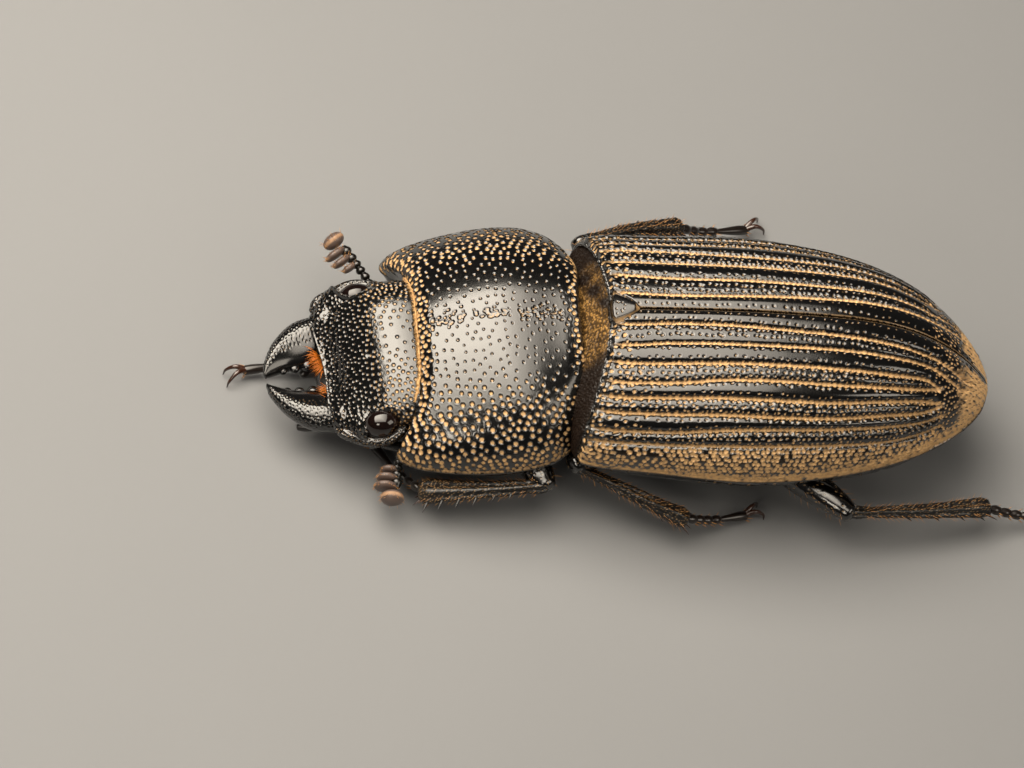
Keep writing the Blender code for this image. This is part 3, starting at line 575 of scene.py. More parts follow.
def close_elytron(name, plate, xs, degrees, side):
    """Give a wing case its turned-in margin, its inner face and its closed front edge."""
    shaped = plate.shaped()
    picks = np.linspace(degrees.shape[1] - 1, 0, 11).astype(int)
    inset = (0.42 - 0.26 * smooth((-xs - 9.3) / 0.35))[:, None]
    inner = elytron_surface(np.broadcast_to(xs[:, None], (len(xs), len(picks))),
                            degrees[:, picks], side, inset)
    tuck = np.array([0.06, 0.5, 0.94])[None, :, None]
    fold = shaped[:, -1:] + (inner[:, :1] - shaped[:, -1:]) * tuck
    fold[..., 2] -= np.array([0.035, 0.06, 0.02])[None]
    wall = inner[:, -1:] + (shaped[:, :1] - inner[:, -1:]) * np.array([0.05, 0.9])[None, :, None]
    whole = np.concatenate([shaped, fold, inner, wall, shaped[:, :1]], 1)
    angles = np.concatenate([degrees[-1], np.full(3, 90.0), degrees[-1][picks], np.zeros(3)])
    lip = elytron_surface(np.full(angles.shape, xs[-1] - 0.03), angles, side, 0.09)
    near = whole[-1] * 0.55 + lip * 0.45
    near[:, 0] = lip[:, 0] + 0.02
    near += 0.012 * noise(near, 75.0, 6)[:, None]
    whole = np.concatenate([whole, near[None], lip[None]], 0)
    return grid_piece(name, whole, BODY, {"fill": fitted(plate.fill, whole, 0)})


def ridge_edges(spans, grooves):
    """Runs out from the seam to the edges of the nine ridges."""
    return np.concatenate([np.zeros((1, len(spans))), grooves, spans[:, -1][None]], 0)


def press_grooves(plate, x, spans, grooves, relief):
    """The eight grooves, and the rounded ridges between them."""
    edges = ridge_edges(spans, grooves)
    for k, (a, b) in enumerate(zip(edges[:-1, :, None], edges[1:, :, None])):
        t = (spans - a) / np.maximum(b - a, 0.02)
        inside = (t >= 0) & (t < 1)
        crown = (1 - (2 * t - 1) ** 2) * (0.075 if k % 2 == 0 else 0.045) * relief
        last = STRIA_ENDS[min(k, len(STRIA_ENDS) - 1)]
        plate.height += np.where(inside, crown, 0) * smooth((last - x) / 0.5)
    for groove, last in zip(grooves, STRIA_ENDS):
        away = np.abs(spans - groove[:, None])
        fade = smooth((last - x) / 0.25 + 0.5) * smooth((ELYTRA_LENGTH + x) / 0.5)
        plate.height -= 0.05 * relief * hill(away / 0.06) * fade
        line = 0.7 * smooth((0.055 - 0.015 * relief - away) / 0.02) * fade
        plate.fill = np.maximum(plate.fill, line)


class CasePress:
    """Press for a wing case's pits, set by a place along it and a run out from its seam."""

    def __init__(self, plate, xs, spans, grooves, seed):
        self.plate, self.xs, self.spans, self.grooves = plate, xs, spans, grooves
        self.draw = np.random.default_rng(seed)
        self.rows = np.arange(len(xs))

    def row(self, x):
        return float(np.interp(-x, -self.xs, self.rows))

    def out(self, runs, x):
        """Run at x from those of all rows."""
        return float(np.interp(self.row(x), self.rows, runs))

    def width(self, x):
        return self.out(self.spans[:, -1], x)

    def column(self, row, span):
        return span / self.spans[int(row), -1] * (self.spans.shape[1] - 1)

    def pit(self, x, span, radius, depth, tan, core):
        row = self.row(x)
        self.plate.pit(row, self.column(row, span), radius, depth, tan, core)

    def fleck(self, x, span):
        """Dark speck where a pit shows through the tan tip."""
        row = int(self.row(x))
        column = int(self.column(row, span))
        window = (slice(max(row - 1, 0), row + 2), slice(max(column - 1, 0), column + 2))
        self.plate.fill[window] *= self.draw.uniform(0.1, 0.75)


def press_elytron_pits(press, seed):
    press_beads(press)
    press_ridge_pits(press)
    press_flank_pits(press)
    press_tip_pits(press, seed + 2)
    press_base_pits(press, seed + 3)


def press_beads(press):
    """Close-set tan beads along each groove."""
    draw = press.draw
    for groove, last in zip(press.grooves, STRIA_ENDS):
        for x in np.arange(-ELYTRA_LENGTH + 0.35, last, 0.145):
            x = x + draw.uniform(-0.02, 0.02)
            press.pit(x, press.out(groove, x) + draw.uniform(-0.012, 0.012),
                      draw.uniform(0.055, 0.068), 0.035, 1.0, 0.92)


def press_ridge_pits(press):
    """Fine pits on the high ridges, and coarser ones with more tan on those between them."""
    draw, edges = press.draw, ridge_edges(press.spans, press.grooves)
    for k, end in enumerate(STRIA_ENDS):
        coarse = k % 2 == 1
        if coarse:
            lanes = (0.22, 0.5, 0.78) if k > 1 else (0.26, 0.6)
            pitch, tan = 0.15, (0.45, 0.75, 1.0, 1.0)[k // 2]
        else:
            lanes, pitch, tan = (0.25, 0.74), 0.19, 0.5 + 0.06 * k
        for lane, t in enumerate(lanes):
            start = -ELYTRA_LENGTH + 0.3 + 0.5 * pitch * lane
            for x in np.arange(start, min(end, -0.9) - 0.15, pitch):
                x = x + draw.uniform(-0.3, 0.3) * pitch
                a, b = press.out(edges[k], x), press.out(edges[k + 1], x)
                if b - a < 0.2:
                    continue
                span = a + (b - a) * (t + draw.uniform(-0.07, 0.07))
                if coarse:
                    narrow = min(max((b - a) / 0.55, 0.62), 1.0)
                    press.pit(x, span, draw.uniform(0.044, 0.06) * narrow, 0.032,
                              tan * draw.uniform(0.6, 1), min(0.55 + 0.05 * k, 0.72))
                else:
                    press.pit(x, span, draw.uniform(0.032, 0.042), 0.022,
                              tan * draw.uniform(0.5, 1), 0.6)


def press_flank_pits(press):
    """Crowded tan pits in thirteen lanes outside the last groove."""
    draw = press.draw
    for lane in range(13):
        for x in np.arange(-9.75, -1.2, 0.13):
            x = x + 0.065 * (lane % 2) + draw.uniform(-0.034, 0.034)
            span = press.out(press.grooves[-1], x) + 0.115 + lane * 0.112
            span = span + draw.uniform(-0.028, 0.028)
            if span < press.width(x) - 0.1 and draw.uniform() < 0.97:
                press.pit(x, span, draw.uniform(0.05, 0.064), 0.038, draw.uniform(0.7, 1.0), 0.98)


def press_tip_pits(press, seed):
    """Fine pits that thin out before the tip and show dark through its tan."""
    def gap(x, span):
        return 0.085 if 0.06 < span < press.width(x) - 0.06 else None

    for x, span in scatter(9000, ((-1.9, -0.12), (0.05, 3.6)), gap, seed):
        in_tan = x > -0.9
        if x > -1.3 or press.draw.uniform() < (x + 1.9) / 0.6:
            press.pit(x, span, press.draw.uniform(0.028, 0.044), 0.022, 0.0 if in_tan else 1.0,
                      0.8)
            if in_tan:
                press.fleck(x, span)


def press_base_pits(press, seed):
    """Crowded tan pits at the front end, reaching further back towards the shoulder."""
    def gap(x, span):
        reach = -9.35 + 0.5 * float(smooth((span - 1.0) / 1.2))
        if x > reach or not 0.1 < span < press.width(x) - 0.1:
            return None
        return 0.105 + 0.2 * (x + ELYTRA_LENGTH) / (reach + ELYTRA_LENGTH) * 0.45

    for x, span in scatter(12000, ((-9.82, -8.85), (0.1, 4.8)), gap, seed):
        press.pit(x, span, press.draw.uniform(0.042, 0.058), 0.03,
                  press.draw.uniform(0.6, 1.0) * (x > -9.79), 0.85)


# Shield

def shield_section(t, turn):
    """Points of the shield's skin at t along it and a turn round it, 0 at its crown."""
    height = PROTHORAX_HEIGHT * along(((0.0, 0.86), (0.12, 0.91), (0.5, 1.0), (1.0, 0.695)), t)
    depth = PROTHORAX_DEPTH * along(((0.0, 0.62), (0.2, 0.95), (0.6, 1.0), (1.0, 0.72)), t)
    width = along(PROTHORAX_WIDTHS, t)
    y, z = rounded_section(turn, PROTHORAX_ROUNDNESS, width, height, depth)
    reach = FRONT_ANGLE_REACH * t ** 3 * (y / 2.7) ** 4
    z = z - 0.3 * t ** 3 * (np.maximum(y, 0.0) / 2.7) ** 4
    bulge = 0.11 * (1 - t) ** 6 * hill((np.abs(y) - 1.6) / 0.7)
    return np.stack([bulge - PROTHORAX_LENGTH * t - reach, y, z], -1)


def make_shield():
    """Broad shield with pressed pits, rolled edges and a hollow behind the head."""
    rows, top, under = SHIELD_GRID
    ts = np.linspace(0.0, 1.0, rows)
    turns, runs = even_turns(shield_section, ts, np.radians(np.linspace(-90, 90, 361)), top)
    spans = runs - runs[:, -1:] / 2
    plate = Plate(over_skin(shield_section, ts, turns), np.array([0.0, 0.0, 1.0]))
    press_shield_pits(plate, ts, spans)
    finish_shield_edges(plate, ts, spans)
    shaped = plate.shaped()
    make_fringe(shaped, spans)
    turn = np.linspace(math.pi / 2, 3 * math.pi / 2, under)[1:-1]
    whole = np.concatenate([shaped, over_skin(shield_section, ts, turn), shaped[:, :1]], 1)
    back = ((0.97, -0.02), (0.92, 0.03), (0.5, 0.05), (0.0, 0.05))
    hollow = ((0.955, 0.0), (0.9, 0.05), (0.85, 0.4), (0.5, 0.8), (0.0, 0.85))
    whole = capped(whole, ((-1, 0, 0), back), ((1, 0, 0), hollow))
    return grid_piece("shield", whole, SHIELD, {"fill": fitted(plate.fill, whole, len(back))})


def finish_shield_edges(plate, ts, spans):
    """Raised black rim with a tan band inside it, and a shell that rounds off to its edges."""
    edge = spans[:, -1:] - np.abs(spans)
    hind = np.broadcast_to(ts[:, None] * PROTHORAX_LENGTH, edge.shape)
    front = PROTHORAX_LENGTH - hind
    grain = 0.5 + 0.5 * noise(plate.points, 55.0, 5)
    rim = np.maximum(smooth((0.06 - edge) / 0.03),
                     np.maximum(smooth((0.06 - hind) / 0.03), smooth((0.07 - front) / 0.03)))
    flank = smooth((np.abs(spans) - 1.2) / 1.0)
    band = np.maximum(smooth((0.13 - edge) / 0.06),
                      smooth((0.05 + 0.17 * flank - hind) / 0.05))
    band = band * (1 - rim)
    plate.fill = np.maximum(plate.fill, band * smooth(1.3 * grain)) * (1 - rim)
    plate.height -= 0.015 * band * (0.5 + grain)
    plate.height += 0.025 * rim - 0.14 * (1 - smooth((np.minimum(hind, front) + 0.02) / 0.14)) ** 2
    plate.height += 0.12 * smooth(front / 0.42) * (1 - smooth((front - 0.42) / 1.7))


def make_fringe(shaped, spans):
    """Thin golden line of short close hairs along the shield's hollow front edge."""
    row = len(shaped) - 5
    places = np.linspace(-2.0, 1.72, 280)
    line = points_at(places, spans[row], shaped[row])
    out = smooth((np.abs(places) - 1.2) / 0.4)
    line[:, 2] += 0.022 + 0.05 * out
    line[:, 0] -= 0.028 + 0.03 * out
    cord = tube_piece("golden_line", line, np.full(len(line), 0.027), SHIELD, 12, lumps=0.01)
    draw = np.random.default_rng(92)
    count = 520
    roots = points_at(draw.uniform(0, 1, count) * (len(line) - 1), np.arange(len(line)), line)
    aims = np.array((-1.0, 0.0, -0.25)) + draw.normal(size=(count, 3)) * 0.22
    fuzz = hairs("golden_fuzz", roots, aims, draw.uniform(0.06, 0.11, count), 0.009, SHIELD)
    dress(join("golden_fringe", [cord, fuzz]), FRINGE)


def press_shield_pits(plate, ts, spans):
    """Small pits on the shield's middle, growing to coarse tan ones at its sides and ends."""
    rows, columns = spans.shape
    draw = np.random.default_rng(31)

    def side(span):
        """0 on the smooth middle of the shield, 1 on its coarse sides."""
        return float(smooth((abs(span) - 1.0 - 0.25 * (span < 0)) / 1.4))

    def ends(x):
        """1 at the shield's hind and front edges."""
        return max(float(smooth((0.45 + x) / 0.35)), float(smooth((-x - 3.5) / 0.4)))

    def gap(x, span):
        total = np.interp(-x / PROTHORAX_LENGTH, ts, spans[:, -1])
        if abs(span) > total - 0.05:
            return None
        wide = 0.19 - 0.04 * side(span)
        close = float(smooth((abs(span) - total + 0.9) / 0.6))
        return wide - max(ends(x), close) * (wide - 0.112)

    def press(x, span, *values):
        row = -x / PROTHORAX_LENGTH * (rows - 1)
        total = spans[int(np.clip(row, 0, rows - 1)), -1]
        plate.pit(row, (span / total + 1) / 2 * (columns - 1), *values)

    for x, span in scatter(60000, ((-4.08, -0.08), (-4.7, 4.7)), gap, 41):
        amount = max(side(span), ends(x))
        crowd = 0.9 if gap(x, span) < 0.13 else 1.0
        radius = (0.04 + 0.027 * amount) * crowd * draw.uniform(0.85, 1.15)
        tan = min(0.35 + 1.2 * amount, 1.0) * draw.uniform(0.75, 1.0)
        press(x, span, radius, 0.024 + 0.016 * amount, tan,
              0.55 + 0.25 * amount + 0.1 * (crowd < 1))
    for _ in range(74):
        x, span = draw.uniform(-3.7, -0.45), draw.normal() * 0.1
        press(x, span, draw.uniform(0.04, 0.06), 0.026, draw.uniform(0.2, 0.7), 0.5,
              draw.uniform(1.0, 1.9))


# Head

def head_section(t, turn):
    """Points of the head's skin at t along it and a turn round it, 0 at its crown."""
    width = HEAD_HALF_WIDTH * along(((0.0, 0.9), (0.2, 0.95), (0.45, 0.98), (0.65, 1.0),
                                     (0.82, 0.93), (0.94, 0.83), (1.0, 0.74)), t)
    level = along(((0.0, 0.0), (0.5, 0.0), (0.75, -0.25), (1.0, -0.5)), t)
    height = along(((0.0, 0.62), (0.2, 0.72), (0.4, 0.68), (0.6, 0.52), (0.8, 0.44),
                    (1.0, 0.27)), t)
    depth = along(((0.0, 0.8), (0.4, 0.95), (0.8, 0.7), (1.0, 0.4)), t)
    y, z = rounded_section(turn, HEAD_ROUNDNESS, width, height, depth)
    x = -HEAD_LENGTH * t + 0.2 * t * (y / HEAD_HALF_WIDTH) ** 2
    return np.stack([x, y, level + z], -1)


def make_head():
    """Head without its jaws, eyes and feelers."""
    rows, top, under = HEAD_GRID
    ts = np.linspace(0.0, 1.0, rows)
    turns, _ = even_turns(head_section, ts, np.radians(np.linspace(-100, 100, 401)), top)
    points = shape_head(over_skin(head_section, ts, turns))
    plate = Plate(points, unit(points - np.array([-1.5, 0.0, -0.6])))
    press_head_pits(plate)
    shaped = plate.shaped()
    turn = np.linspace(math.radians(100), math.radians(260), under)[1:-1]
    whole = np.concatenate([shaped, over_skin(head_section, ts, turn), shaped[:, :1]], 1)
    nape = ((0.9, 0.1), (0.5, 0.2), (0.0, 0.2))
    face = ((0.985, 0.02), (0.95, 0.035), (0.88, 0.02), (0.8, -0.02), (0.4, -0.05), (0.0, -0.05))
    whole = capped(whole, ((1, 0, 0), nape), ((-1, 0, 0), face))
    return grid_piece("head_shell", whole, HEAD, {"fill": fitted(plate.fill, whole, len(nape))})


def shape_head(points):
    """Ridge before each eye, hollow brow between them and raised front corners."""
    x, y, z = np.moveaxis(points, -1, 0)
    low = smooth((0.25 - z) / 0.3) * smooth((z + 0.75) / 0.25)
    ridge = hill((x + 2.1) / 0.48) * low * smooth((np.abs(y) - 1.4) / 0.5)
    brow = hill((x + 2.55) / 0.5, y / 1.1) * smooth((z + 0.6) / 0.3)
    corner = hill((x + 2.75) / 0.22, (np.abs(y) - 1.45) / 0.25)
    right = 0.2 * smooth((y - 0.9) / 0.9) * smooth((x + 2.5) / 0.5)
    around_eye = np.hypot((x + 1.68) / 0.45, (np.abs(y) - 2.1) / 0.3)
    socket = smooth((1.0 - around_eye) / 0.2) * (z > -0.4)
    lid = hill((around_eye - 1.18) / 0.14) * (z > -0.2)
    out = points.copy()
    out[..., 0] += 0.2 * hill(y / 1.1) * smooth((-x - 2.2) / 0.7)
    out[..., 1] += np.sign(y) * 0.2 * ridge - right
    out[..., 2] += 0.1 * corner * smooth((z + 0.6) / 0.2) - 0.14 * brow + 0.1 * ridge
    out[..., 2] += (0.05 + 0.05 * (y > 0)) * lid - 0.3 * socket
    return out


def press_head_pits(plate):
    """Tan pits on the crown, and small dark crowded ones on the brow."""
    draw = np.random.default_rng(52)
    x, y, z = np.moveaxis(plate.points, -1, 0)
    front = smooth((-x - 1.9) / 0.5)
    rough = np.maximum(front, smooth((np.abs(y) - 1.7) / 0.3) * smooth((-x - 1.4) / 0.3))
    plate.height += rough * 0.005 * noise(plate.points, 30.0, 9)
    plate.height -= (0.06 * hill((x + 2.33) / 0.16, (y - 1.39) / 0.2)
                     + 0.03 * hill((x + 1.7) / 0.07, (y + 0.27) / 0.09))
    plate.settle()

    def middle(px, py, length, width):
        return math.exp(-((px + 0.9) / length) ** 2 - (py / width) ** 2)

    def gap(px, py, _):
        return 0.112 + 0.1 * middle(px, py, 0.55, 0.85) - 0.012 * (px < -2.1)

    allowed = (z > -0.75) & (x < -0.25) & (x > -3.0)
    for row, column, px, py in strew(plate, allowed, gap, 22000, 53):
        coarse = float(smooth((-px - 1.35) / 0.7))
        sparse = middle(px, py, 0.7, 1.0)
        fill = (1.0 - 0.78 * coarse) * (1.0 - 0.55 * sparse) * draw.uniform(0.6, 1.0)
        plate.pit(row, column, (0.046 - 0.009 * coarse) * draw.uniform(0.85, 1.15),
                  0.03 - 0.015 * coarse, fill, 0.75 - 0.2 * max(sparse, coarse))


# Small parts of the body

def pitted_piece(name, grid, place, count, radius, depth, tan, seed, core=0.75):
    """Piece from a tube-like grid with small pits spread over it."""
    plate = round_plate(grid)
    draw = np.random.default_rng(seed)
    allowed = np.zeros(plate.height.shape)
    allowed[:, 3:-3] = 1.0
    for row, column, _, _ in strew(plate, allowed, lambda *_: 2.1 * radius, count, seed):
        plate.pit(row, column, radius * draw.uniform(0.75, 1.2), depth,
                  tan * draw.uniform(0.4, 1.0), core)
    shaped = plate.shaped(closed=True)
    shaped[0], shaped[-1] = grid[0], grid[-1]
    return grid_piece(name, shaped, place, {"fill": plate.fill})


def egg(centre, axes, sizes, rows, around, blunt=1.0):
    """Grid of an egg-shaped body; the rows of axes are its three directions."""
    rise = np.linspace(-np.pi / 2, np.pi / 2, rows)[:, None]
    turn = full_turn(around)[None, :]
    round_part = power(np.cos(rise), blunt)
    round_part[0] = round_part[-1] = 0.0
    local = np.stack([sizes[0] * np.sin(rise) + 0 * turn, sizes[1] * round_part * np.cos(turn),
                      sizes[2] * round_part * np.sin(turn)], -1)
    local[:, -1] = local[:, 0]
    return np.asarray(centre, float) + local @ unit(np.asarray(axes, float))


def upright_axes(heading):
    heading = unit(heading)
    across = unit(np.cross((0.0, 0.0, 1.0), heading))
    return np.stack([heading, across, np.cross(heading, across)])


def grid_hairs(grid, spans, turns, spacing, lean, seed):
    """Roots and aims of hairs in rows along a tube-like grid."""
    draw = np.random.default_rng(seed)
    rows, columns = grid.shape[:2]
    middle = grid.mean(axis=1)
    heading = unit(np.gradient(middle, axis=0))
    run = run_along(middle)
    roots, aims = [], []
    for turn in turns:
        for place in np.arange(spans[0], spans[1], spacing / run[-1]):
            place = place + draw.uniform(-0.3, 0.3) * spacing / run[-1]
            row = int(np.clip(np.interp(place * run[-1], run, np.arange(rows)), 0, rows - 1))
            column = int((turn / 360 + draw.uniform(-0.02, 0.02)) * (columns - 1)) % (columns - 1)
            point = grid[row, column]
            outward = unit(point - middle[row])
            roots.append(point - outward * 0.01)
            aims.append(outward + heading[row] * lean + draw.normal(size=3) * 0.12)
    return np.array(roots), np.array(aims)


def make_waist():
    """Granular golden strip between the shield and the wing cases."""
    rows, top, under = 84, 420, 30
    places = np.linspace(-10.58, -9.25, rows)
    width = along(((-10.58, 2.1), (-10.42, 2.4), (-10.2, 2.7), (-9.8, 3.08), (-9.25, 3.1)),
                  places)[:, None]
    height = along(((-10.58, 1.1), (-10.42, 1.3), (-10.2, 1.52), (-9.8, 1.86), (-9.25, 1.9)),
                   places)[:, None]
    lead = 0.04 + 0.026 * smooth((places[:, None] + 10.5) / 0.6)
    turn = np.radians(np.concatenate([np.linspace(-100, 100, top),
                                      np.linspace(100, 260, under + 1)[1:]]))[None, :]
    y, z = rounded_section(turn, BODY_ROUNDNESS, width, height, 1.0)
    points = np.stack([places[:, None] - lead * y ** 2, y, MARGIN_Z + z], -1)
    points[:, -1] = points[:, 0]
    plate = round_plate(points)
    draw = np.random.default_rng(77)
    for _ in range(5200):
        plate.pit(draw.uniform(1, rows - 2), draw.uniform(8, top - 8), draw.uniform(0.018, 0.03),
                  -0.026, 0.0)
    blotch = 0.5 + 0.35 * noise(points, 2.6, 21) + 0.25 * noise(points, 9.0, 22)
    # Gold mask: the strip's own gold in blotches. It is lighter on the raised granules as a painted
    # highlight, and fades to dark brown at the sides as painted shade where the strip runs in under
    # the shield and the wing cases.
    gold_and_painted_light = blotch * smooth((1.75 - np.abs(y - 0.28)) / 0.6) * smooth(0.25 + 28.0 * plate.height)
    end = ((0.9, 0.06), (0.5, 0.1), (0.0, 0.1))
    whole = capped(plate.shaped(closed=True), ((-1, 0, 0), end), ((1, 0, 0), end))
    item = grid_piece("waist", whole, BODY, {"gold_and_painted_light": fitted(gold_and_painted_light, whole, len(end))})
    dress(item, WAIST, "mesonotum", slot="golden_waist")


def make_scutellum():
    """Small glossy triangle between the wing cases, with a reddish edge."""
    t = np.linspace(0.0, 1.0, 56)[:, None]
    v = np.linspace(-1.0, 1.0, 61)[None, :]
    half = scutellum_half_width(t) * (0.55 + 0.45 * smooth(t / 0.2)) + 0.012
    x = SCUTELLUM_FRONT + SCUTELLUM_LENGTH * t - 0.05 * (1 - v ** 2) * (1 - t) ** 3
    y = v * half
    width, height = elytra_half_width(x), elytra_height(x)
    level = height * (1 - (np.abs(y) / width) ** BODY_ROUNDNESS) ** (1 / BODY_ROUNDNESS)
    edge = np.minimum(np.minimum(1 - np.abs(v), (1 - t) * 1.5), t * 2.5) + 0 * x
    crown = 0.09 * smooth(edge / 0.3) + 0.03 * (1 - v ** 2)
    z = MARGIN_Z + level + crown - 0.03 - 0.10 * smooth((0.12 - t) / 0.12)
    plate = Plate(np.stack([x + 0 * v, y, z], -1), np.array([0.0, 0.0, 1.0]))
    draw = np.random.default_rng(88)
    for _ in range(9):
        plate.pit(draw.uniform(8, 28), draw.uniform(12, 48), 0.028, 0.016, 0.6, 0.5)
    shaped = plate.shaped()
    under = shaped[:, ::-1] - np.array([0.0, 0.0, 0.14])
    whole = capped(np.concatenate([shaped, under, shaped[:, :1]], 1), FLAT_END, FLAT_END)
    tan = np.maximum(plate.fill, 0.5 * smooth((0.26 - edge) / 0.1) * smooth(t / 0.3))
    item = grid_piece("scutellum_plate", whole, BODY, {"fill": fitted(tan, whole, 2)})
    dress(item, SHELL, "scutellum", slot="black_shell")


def body_rings(places, steps):
    """Sections of the body under the wing cases, a dome inside them over a wider belly."""
    width = elytra_half_width(places)
    dome_width = np.maximum(width - 0.75, 0.5 * width)[:, None]
    dome_height = np.maximum(elytra_height(places) - 0.75, 0.1)[:, None]
    belly_width = np.maximum(width - 0.35, 0.6 * width)[:, None]
    close = smooth((-places - 0.3) / 2.2)
    depth = ((MARGIN_Z - 1.0) * (0.35 + 0.65 * close) - steps)[:, None]
    turn = np.radians(np.linspace(0, 90, 24))[None, :]
    upper = rounded_section(turn, BODY_ROUNDNESS, dome_width, dome_height, dome_height)
    lower = rounded_section(turn[:, ::-1], BELLY_ROUNDNESS, belly_width, depth, depth)
    y = np.concatenate([upper[0], lower[0]], 1)
    z = np.concatenate([MARGIN_Z + upper[1], MARGIN_Z - 0.28 - lower[1]], 1)
    y = np.concatenate([y, -y[:, ::-1]], 1)
    z = np.concatenate([z, z[:, ::-1]], 1)
    return np.stack([np.broadcast_to(places[:, None], y.shape), y, z], -1)


def make_belly():
    """Chest under the front of the wing cases, and the hind body with its five plates."""
    for name, node, front, back, rows, plates in (
            ("chest", "pterothorax", -9.5, -5.78, 70, 1),
            ("hind_body", "abdomen", -5.6, -0.75, 200, 5)):
        places = np.linspace(front, back, rows)
        share = np.mod((places - front) / (back - front) * plates * 0.9999, 1.0)
        rings = body_rings(places, 0.1 * (1 - smooth(share / 0.25)) * (plates > 1))
        rings = capped(np.concatenate([rings, rings[:, :1]], 1), FLAT_END,
                       ((1, 0, 0), ((0.8, 0.08), (0.4, 0.14), (0.0, 0.16))))
        item = pitted_piece(name, rings, BODY, 900, 0.05, 0.02, 0.7, 63)
        dress(item, SHELL, node, slot="black_shell")


# Head and its parts

# Centre of each eye
EYES = {"left": (-1.68, -1.98, -0.02), "right": (-1.62, 1.8, -0.24)}


def make_eyes():
    for name, centre in EYES.items():
        grid = egg(centre, np.eye(3), (0.47, 0.36, 0.4), 60, 90)
        dress(grid_piece("eyeball_" + name, grid, HEAD), EYE, "eye_" + name, slot="eye")


def make_mandible(name, side, seed):
    """Short broad jaw: a closed crescent, rough outside and smooth towards its tip."""
    outer = bow(((-2.55, 1.66, -0.62), (-3.3, 1.52, -0.6), (-3.87, 1.05, -0.55),
                 (-4.2, 0.5, -0.5), (-4.27, 0.2, -0.48)), 160)
    inner = bow(((-2.55, 0.5, -0.8), (-3.2, 0.34, -0.76), (-3.6, 0.3, -0.7),
                 (-3.95, 0.2, -0.62), (-4.18, 0.12, -0.54)), 160)
    t = np.linspace(0, 1, 160)[:, None]
    turn = full_turn(160)[None, :]
    wide, high = power(np.cos(turn), 2 / 2.5), power(np.sin(turn), 2 / 2.1)
    half = 0.36 - 0.25 * t ** 1.5
    crest = 0.12 * hill((wide - 0.3) / 0.55) * (1 - t) * (high > 0) * smooth(t / 0.15)
    points = ((outer + inner) / 2)[:, None] + ((outer - inner) / 2)[:, None] * wide[..., None]
    points[..., 2] += half * high + crest
    points[..., 1] *= side
    points[:, -1] = points[:, 0]
    plate = round_plate(points)
    draw = np.random.default_rng(seed)
    allowed = (high > 0.05) * (wide > -0.25 + 0.75 * t ** 2) * (t > 0.03) * (t < 0.85)
    allowed[:, :3] = allowed[:, -3:] = 0
    for row, column, _, _ in strew(plate, allowed, lambda *_: 0.082, 5000, seed):
        plate.pit(row, column, draw.uniform(0.03, 0.04), 0.014, draw.uniform(0, 0.2), 0.5)
    root = ((0.7, 0.05), (0.0, 0.08))
    tip = ((0.8, 0.035), (0.45, 0.06), (0.0, 0.07))
    whole = capped(plate.shaped(closed=True), ((1, 0, 0), root),
                   (unit((outer[-1] - outer[-3]) * (1, side, 1)), tip))
    jaw = grid_piece(name, whole, HEAD, {"fill": fitted(plate.fill, whole, len(root))})
    teeth = [grid_piece("tooth", egg((x, side * (y + 0.02), z), np.eye(3), size, 16, 20), HEAD)
             for x, y, z, size in ((-3.12, 0.4, -0.72, (0.17, 0.2, 0.13)),
                                   (-3.45, 0.34, -0.7, (0.14, 0.15, 0.1)),
                                   (-3.75, 0.3, -0.66, (0.12, 0.13, 0.09)))]
    return join(name, [jaw] + teeth)


def make_mouth():
    for name, side, seed in (("left", -1, 301), ("right", 1, 302)):
        dress(make_mandible("jaw_" + name, side, seed), SHELL, "mandible_" + name,
              slot="black_shell")
        for kind, out, reach in (("maxillary", 1.05, 0.85), ("labial", 0.42, 0.5)):
            places = bow(((-2.5, side * out, -1.0), (-2.95, side * (out + 0.1), -1.16),
                          (-2.75 - reach, side * out, -1.2)), 40)
            swell = 0.085 + 0.035 * np.abs(np.sin(np.linspace(0.2, 3 * np.pi - 0.2, 40)))
            item = tube_piece("palp_%s_%s" % (kind, name), places, swell, HEAD, 20)
            dress(item, JOINT, "%s_palp_%s" % (kind, name), slot="dark_joint")
        make_mouth_brush(name, side, seed + 9)


def make_mouth_brush(name, side, seed):
    """Orange hairs between the roots of the jaws, more of them on the right."""
    draw = np.random.default_rng(seed)
    count = 120
    place = draw.uniform(0, 1, count)
    first, reach = (0.1, 0.62) if side > 0 else (0.52, 0.55)
    roots = np.stack([-2.72 - 0.2 * place ** 1.5, side * (first + reach * place),
                      -0.5 + draw.uniform(-0.04, 0.04, count)], 1)
    aims = np.stack([-0.9 + 0 * place, side * (1.2 * place - 0.7), 0.2 + 0 * place], 1)
    aims += draw.normal(size=aims.shape) * 0.25
    dress(hairs("mouth_brush_" + name, roots, aims, draw.uniform(0.28, 0.48, count), 0.009, HEAD,
                (0.0, 0.0, -0.3)), BRUSH)


def make_eye_ridges():
    """Rough ridge that runs out from the brow round the outside of each eye."""
    for name, side, seed in (("left", -1, 401), ("right", 1, 402)):
        path = bow(((-2.75, side * 1.72, -0.42), (-2.4, side * 2.02, -0.34),
                    (-2.0, side * 2.26, -0.3), (-1.6, side * 2.33, -0.24),
                    (-1.25, side * 2.2, -0.16), (-1.02, side * 1.98, -0.1)), 90)
        path[:, 1] -= 0.16 * (side > 0) * smooth((path[:, 0] + 2.6) / 0.5)
        t = np.linspace(0, 1, 90)
        grid = tube(path, 0.17 * smooth(t / 0.2 + 0.5) * (1 - 0.45 * t ** 2), 70)
        item = pitted_piece("eye_ridge_" + name, grid, HEAD, 2500, 0.036, 0.022, 0.4, seed, 0.5)
        dress(item, SHELL)


# Elbow, two places along the stalk, and tip of each feeler
FEELERS = {"left": ((-1.2, -2.3, -0.78), (-1.36, -2.62, -0.84), (-1.46, -2.9, -0.86),
                    (-1.66, -3.8, -0.88)),
           "right": ((-1.08, 2.38, -0.85), (-1.26, 2.76, -0.75), (-1.42, 3.08, -0.65),
                     (-1.82, 3.84, -0.45))}

# Swell of one bead of the stalk from end to end
BEAD = (0.5, 0.68, 0.84, 0.94, 1.0, 1.02, 1.0, 0.95, 0.88, 0.8, 0.7, 0.6)

